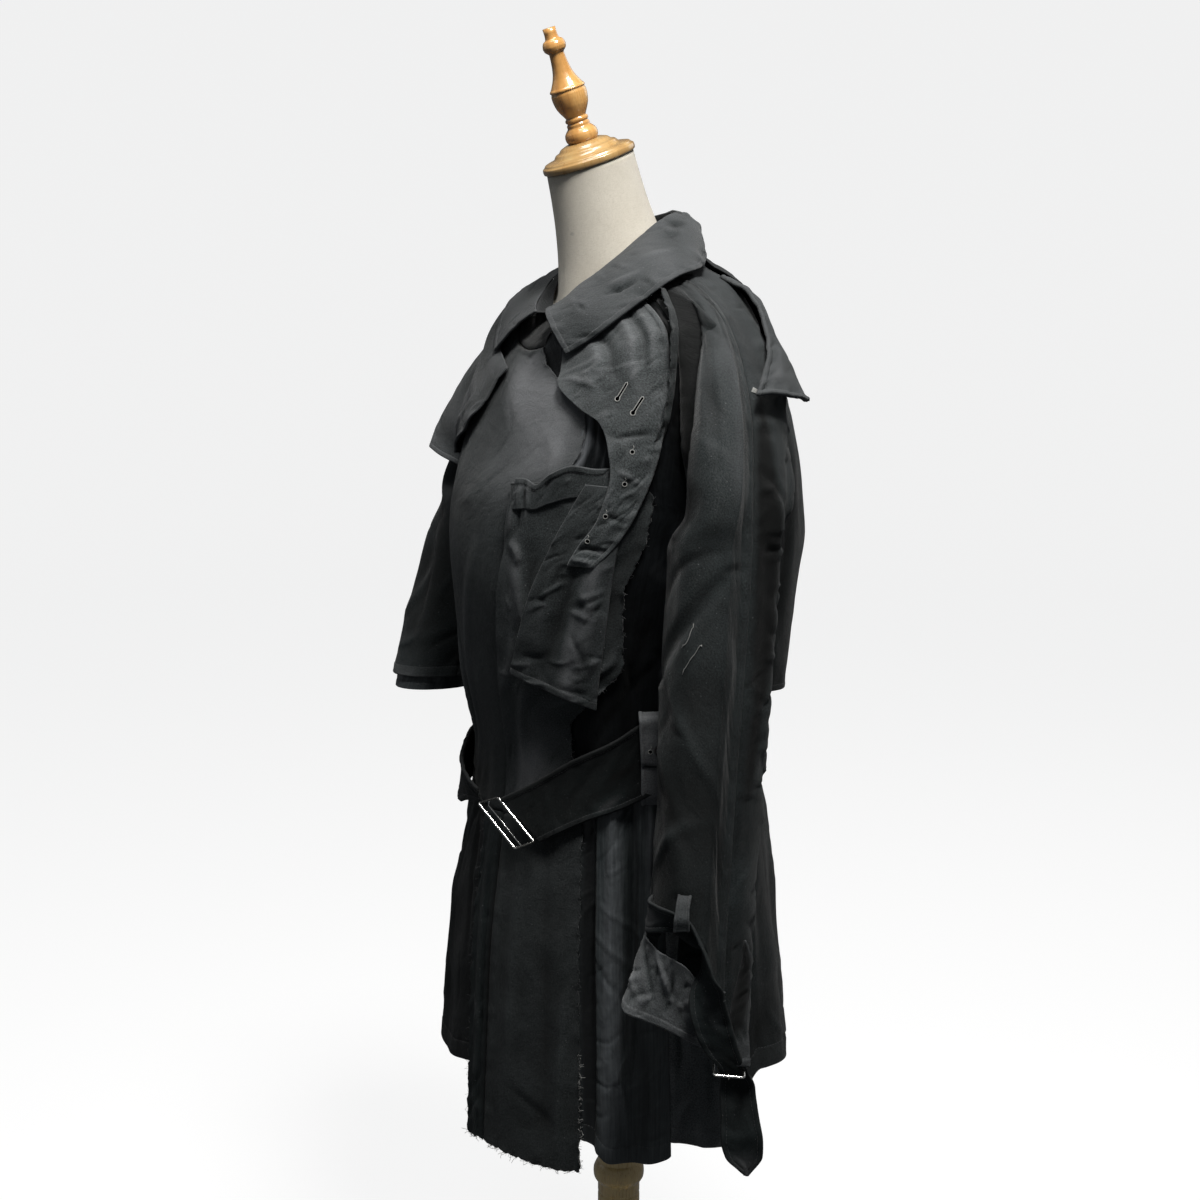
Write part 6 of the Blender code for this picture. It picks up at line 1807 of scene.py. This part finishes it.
# ---- Worked holes and tacks ----
# Two keyhole buttonholes and four old eyelets in the buttonhole piece, worked in a thread that has
# gone pale, an eyelet in the belt's loop and a bar of thread that tacks down the epaulette's end.


def ground(made):
    """Finds where a line between two points first meets a finished piece, and how the cloth faces there."""
    mesh = made.data
    tree = BVHTree.FromPolygons([v.co for v in mesh.vertices], [tuple(f.vertices) for f in mesh.polygons])

    def land(start, towards):
        start, towards = Vector(start), Vector(towards)
        point, facing, _, _ = tree.ray_cast(start, (towards - start).normalized(), (towards - start).length)
        return (None, None) if point is None else (np.array(point), np.array(facing))

    return land


def laid(land, centre, facing, ahead, outline, lift):
    """An outline drawn flat round a centre, laid on the cloth."""
    beside = unit(np.cross(facing, ahead))
    ahead = unit(np.cross(beside, facing))
    path = []
    for x, y in outline:
        at = centre + ahead * x + beside * y
        point, _ = land(at + facing * 0.012, at - facing * 0.012)
        path.append((at if point is None else point) + facing * lift)
    return np.array(path)


def joined(name, rods):
    """Several rods as one piece."""
    points, faces, first = [], [], 0
    for some, their_faces in rods:
        points.append(some)
        faces += [tuple(i + first for i in face) for face in their_faces]
        first += len(some)
    return piece(name, np.concatenate(points), faces)


def over(turn, level, lift):
    return body(np.array([turn]), np.array([level]), lift)[0]


pale_thread = Paint("old thread, gone pale", (0.2, 0.2, 0.19), 0.7, Sheen_Weight=0.1)
twist = pale_thread.noise(pale_thread.place("Object"), 1600.0, 2.0)
pale_thread.feed(Base_Color=pale_thread.blend(twist, (0.06, 0.06, 0.058), (0.42, 0.42, 0.4)),
                 Roughness=twist * 0.3 + 0.5)
# Painted shade: the openings are flat near-black sheets laid in the worked outlines.
hole_shade = Paint("open hole", (0.001, 0.001, 0.0012), 0.9, Specular_IOR_Level=0.0)
depth = hole_shade.noise(hole_shade.place("Object"), 400.0)
hole_shade.feed(Roughness=depth * 0.1 + 0.85)

EYE, SLIT, LONG = 0.0027, 0.0015, 0.0185
turns = np.radians(np.linspace(36, 324, 18))
keyhole = [(EYE * math.cos(a), EYE * math.sin(a)) for a in turns]
keyhole += [(x, -SLIT) for x in np.linspace(0.004, LONG, 7)] + [(LONG + 0.0011, 0.0)]
keyhole += [(x, SLIT) for x in np.linspace(LONG, 0.004, 7)]
land = ground(buttonhole_piece)
rims, holes = [], []


def worked(land, at, facing, ahead, outline, thick, lifts, shrink):
    """A closed outline worked in thread, round a near-black sheet that paints the shade in the opening;
    the two lie on the cloth at their own lifts.
    """
    rims.append(rod(laid(land, at, facing, ahead, outline, lifts[0]), thick, sides=6))
    inner = [(x * shrink[0], y * shrink[1]) for x, y in outline]
    inner = laid(land, at, facing, ahead, inner, lifts[1])
    holes.append((inner, [tuple(range(len(inner)))]))


for turn, level, far_turn, far_level in ((51.0, 1.331, 54.5, 1.351), (57.0, 1.311, 60.5, 1.329)):
    eye, facing = land(over(turn, level, 0.05), over(turn, level, -0.02))
    ahead = unit(over(far_turn, far_level, 0.0) - over(turn, level, 0.0))
    worked(land, eye, facing, ahead, keyhole, 0.00052, (0.0004, 0.00022), (0.97, 0.9))
RING = [(0.0024 * math.cos(a), 0.0024 * math.sin(a)) for a in np.radians(np.arange(0, 360, 30))]
loop_land = ground(loops["left"])
for turn, level, drop in (
    (58.7, 1.267, land), (57.8, 1.231, land), (53.3, 1.196, land), (48.8, 1.168, land),
    (67.4, 0.939, loop_land),
):
    eye, facing = drop(over(turn, level, 0.05), over(turn, level, -0.02))
    worked(drop, eye, facing, np.array([0.3, 0.2, 1.0]), RING, 0.00042, (0.0003, 0.0002), (0.8, 0.8))
    tail = [(0.0016, 0.0), (0.0035, 0.001), (0.0052, 0.0004), (0.0064, 0.002)]
    rims.append(rod(laid(drop, eye, facing, np.array([0.5, 0.1, 0.8]), tail, 0.0006), 0.00026, False, 5))
arm_land = ground(left_back)
tack = sleeve("back", np.array([0.05]), np.array([4.38]), LEFT_TROUGHS)[0]
tack_at, tack_facing = arm_land(tack + [0.05, 0.0, 0.02], tack - [0.05, 0.0, 0.02])
for n in range(6):
    bar = [(x, (n - 2.5) * 0.0009) for x in (-0.0026, -0.001, 0.001, 0.0026)]
    bar = laid(arm_land, tack_at, tack_facing, np.array([0.0, -0.8, 0.6]), bar, 0.0007)
    rims.append(rod(bar, 0.0005, False, 6))
sleeve_land = ground(left_front)
LINT = [
    [
        (0.2862, -0.0929, 1.0416), (0.2912, -0.0883, 1.0541), (0.2985, -0.0793, 1.0709),
        (0.3, -0.077, 1.0732),
    ],
    [
        (0.2837, -0.0919, 1.0686), (0.2889, -0.0883, 1.0755), (0.2906, -0.084, 1.0867),
        (0.2902, -0.0811, 1.0935),
    ],
]
for hair in LINT:
    share = np.linspace(0, 1, 20)
    path = np.stack([np.interp(share, np.linspace(0, 1, len(hair)), axis) for axis in zip(*hair)], -1)
    path[:, 2] += 0.0012 * np.sin(share * 19)
    path[:, 1] += 0.0012 * np.cos(share * 15)
    off = np.array([0.018, -0.024, 0.003])
    hits = [sleeve_land(at + off, at - off)[0] for at in path]
    path = np.array([at if hit is None else hit + off * 0.03 for at, hit in zip(path, hits)])
    rims.append(rod(path, 0.00028, False, 5))
strap_land = ground(strap)
SLOT = [(0.0072 * math.cos(a), 0.0026 * math.sin(a)) for a in np.radians(np.arange(0, 360, 20))]
slot_at, slot_facing = strap_land((0.268, -0.144, 0.7905), (0.238, -0.093, 0.7905))
worked(strap_land, slot_at, slot_facing, np.array([0.75, -0.6, -0.15]), SLOT, 0.0005, (0.0004, 0.0003),
       (0.95, 0.9))
ride_along(joined("worked_thread", rims), pale_thread)
ride_along(joined("open_holes", holes), hole_shade)

# ---- The thread ----
# Black polyester topstitching along every turned edge, sewn by machine as short separate
# stitches that sink into a furrow in the cloth.


def strands(name, lines):
    """A mesh of open lines, for a Geometry Nodes tree to work along."""
    points = np.concatenate(lines)
    starts = np.cumsum([0] + [len(line) for line in lines[:-1]])
    edges = [(s + i, s + i + 1) for s, line in zip(starts, lines) for i in range(len(line) - 1)]
    return mesh_object(name, points, edges, [])


def grow(name, group):
    """A Geometry Nodes tree with a way to add a node in one line."""
    tree = bpy.data.node_groups.new(name, "GeometryNodeTree")
    tree.interface.new_socket("Geometry", in_out="INPUT", socket_type="NodeSocketGeometry")
    for title, kind, value in group:
        socket = tree.interface.new_socket(title, in_out="INPUT", socket_type="NodeSocket" + kind)
        if value is not None:
            socket.default_value = value
    tree.interface.new_socket("Geometry", in_out="OUTPUT", socket_type="NodeSocketGeometry")

    def node(kind, sockets=None, out=0, **settings):
        """Adds one node and gives one of its outputs, or all of them where out is None."""
        made = tree.nodes.new(kind if "Node" in kind else "GeometryNode" + kind)
        for key, value in settings.items():
            setattr(made, key, value)
        for key, value in (sockets or {}).items():
            if isinstance(value, bpy.types.NodeSocket):
                tree.links.new(value, made.inputs[key])
            else:
                made.inputs[key].default_value = value
        return made.outputs if out is None else made.outputs[out]

    return tree, node


def grown(source, tree, values):
    """Runs a tree on an object and keeps the plain mesh that it makes."""
    modifier = source.modifiers.new("grow", "NODES")
    modifier.node_group = tree
    for item in tree.interface.items_tree:
        if item.item_type == "SOCKET" and item.in_out == "INPUT" and item.name in values:
            modifier[item.identifier] = values[item.name]
    bpy.context.view_layer.update()
    graph = bpy.context.evaluated_depsgraph_get()
    mesh = bpy.data.meshes.new_from_object(source.evaluated_get(graph))
    source.modifiers.remove(modifier)
    name = source.name
    source.name = name + "_line"
    made = bpy.data.objects.new(name, mesh)
    scene.collection.objects.link(made)
    bpy.data.objects.remove(source)
    return made


thread = Paint("black polyester thread", (0.02, 0.02, 0.022), 0.55, Sheen_Weight=0.1)
ply = thread.noise(thread.place("Object"), 1500.0, 2.0)
thread.feed(Base_Color=thread.blend(ply, (0.012, 0.012, 0.014), (0.034, 0.034, 0.037)),
            Roughness=ply * 0.3 + 0.4)

stitching, node = grow(
    "topstitching",
    [
        ("Stitch", "Float", 0.003), ("Pitch", "Float", 0.004), ("Thick", "Float", 0.00045),
        ("Thread", "Material", None),
    ],
)
given = node("NodeGroupInput", out=None)
line = node("MeshToCurve", {"Mesh": given["Geometry"]})
spots = node("CurveToPoints", {"Curve": line, "Length": given["Pitch"]}, out=None, mode="LENGTH")
ball = node("MeshUVSphere", {"Segments": 6, "Rings": 4, "Radius": 0.5}, "Mesh")
size = node("ShaderNodeCombineXYZ", {"X": given["Thick"], "Y": given["Thick"], "Z": given["Stitch"]})
one = node("Transform", {"Geometry": ball, "Scale": size})
aim = node("FunctionNodeAlignRotationToVector", {"Vector": spots["Tangent"]}, axis="Z")
many = node("InstanceOnPoints", {"Points": spots["Points"], "Instance": one, "Rotation": aim})
smooth = node("SetShadeSmooth", {"Geometry": node("RealizeInstances", {"Geometry": many})})
done = node("SetMaterial", {"Geometry": smooth, "Material": given["Thread"]})
node("NodeGroupOutput", {0: done}, out=None)
topstitching = grown(strands("topstitching", stitch_lines), stitching, {"Thread": thread.material})
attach(topstitching, "root")

# ---- The frayed edges ----
# Loose ends of yarn along every raw edge, where the weave has opened since the cloth was cut:
# black on most edges, and bleached on the hanging facing and the strip beside it.

fringe, node = grow(
    "fringe",
    [
        ("Spacing", "Float", 0.0016), ("Long", "Float", 0.005), ("Thick", "Float", 0.00016),
        ("Share kept", "Float", 0.6), ("Seed", "Int", 3), ("Yarn", "Material", None),
    ],
)
given = node("NodeGroupInput", out=None)
line = node("MeshToCurve", {"Mesh": given["Geometry"]})
spots = node("CurveToPoints", {"Curve": line, "Length": given["Spacing"]}, mode="LENGTH")
bent = {"Resolution": 5, "Start": (0.0, 0.0, -0.1), "Middle": (0.3, 0.0, 0.45), "End": (-0.15, 0.25, 1.0)}
bend = node("CurveQuadraticBezier", bent)
section = node("CurvePrimitiveCircle", {"Resolution": 3, "Radius": given["Thick"]}, mode="RADIUS")
size = node("ShaderNodeCombineXYZ", {"X": given["Long"], "Y": given["Long"], "Z": given["Long"]})
sized = node("Transform", {"Geometry": bend, "Scale": size})
hair = node("CurveToMesh", {"Curve": sized, "Profile Curve": section})
outward = node("InputNamedAttribute", {"Name": "outward"}, data_type="FLOAT_VECTOR")
aim = node("FunctionNodeAlignRotationToVector", {"Vector": outward}, axis="Z")
leaning = {0: (-1.5, -1.5, -3.1), 1: (1.5, 1.5, 3.1), "Seed": given["Seed"]}
lean = node("FunctionNodeRandomValue", leaning, data_type="FLOAT_VECTOR")
turned = node("FunctionNodeRotateRotation", {"Rotation": aim, "Rotate By": lean}, rotation_space="LOCAL")
length = node("FunctionNodeRandomValue", {2: 0.25, 3: 1.3, "Seed": given["Seed"]}, 1, data_type="FLOAT")
chance = {"Probability": given["Share kept"], "Seed": given["Seed"]}
kept = node("FunctionNodeRandomValue", chance, 3, data_type="BOOLEAN")
spread = {"Points": spots, "Selection": kept, "Instance": hair, "Rotation": turned, "Scale": length}
many = node("RealizeInstances", {"Geometry": node("InstanceOnPoints", spread)})
done = node("SetMaterial", {"Geometry": many, "Material": given["Yarn"]})
node("NodeGroupOutput", {0: done}, out=None)


def part_of(key, first, last):
    """A share of a raw edge, with the way out of the cloth along it."""
    line, out = raw_lines[key]
    count = len(line)
    some = slice(int(first * count), max(int(first * count) + 3, int(last * count)))
    return line[some], out[some]


def fringed(name, parts, values):
    lines, outs = zip(*parts)
    source = strands(name, list(lines))
    mark = source.data.attributes.new("outward", "FLOAT_VECTOR", "POINT")
    mark.data.foreach_set("vector", np.concatenate(outs).ravel())
    made = grown(source, fringe, values)
    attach(made, "root")
    return made


bleached = [part_of(("front_facing", "right"), 0.0, 0.34), part_of(("front_facing", "foot"), 0.1, 1.0),
            part_of(("front_strip_cloth", "foot"), 0.0, 1.0)]
fringed(
    "bleached_yarn_ends", bleached,
    {
        "Spacing": 0.0011, "Long": 0.0056, "Thick": 0.00024, "Share kept": 0.55, "Seed": 5,
        "Yarn": pale_thread.material,
    },
)
dark = [part_of(key, 0.0, 1.0) for key in raw_lines if key != ("side_lining", "left")]
fringed("black_yarn_ends", dark,
        {"Spacing": 0.0014, "Long": 0.004, "Share kept": 0.5, "Seed": 6, "Yarn": thread.material})
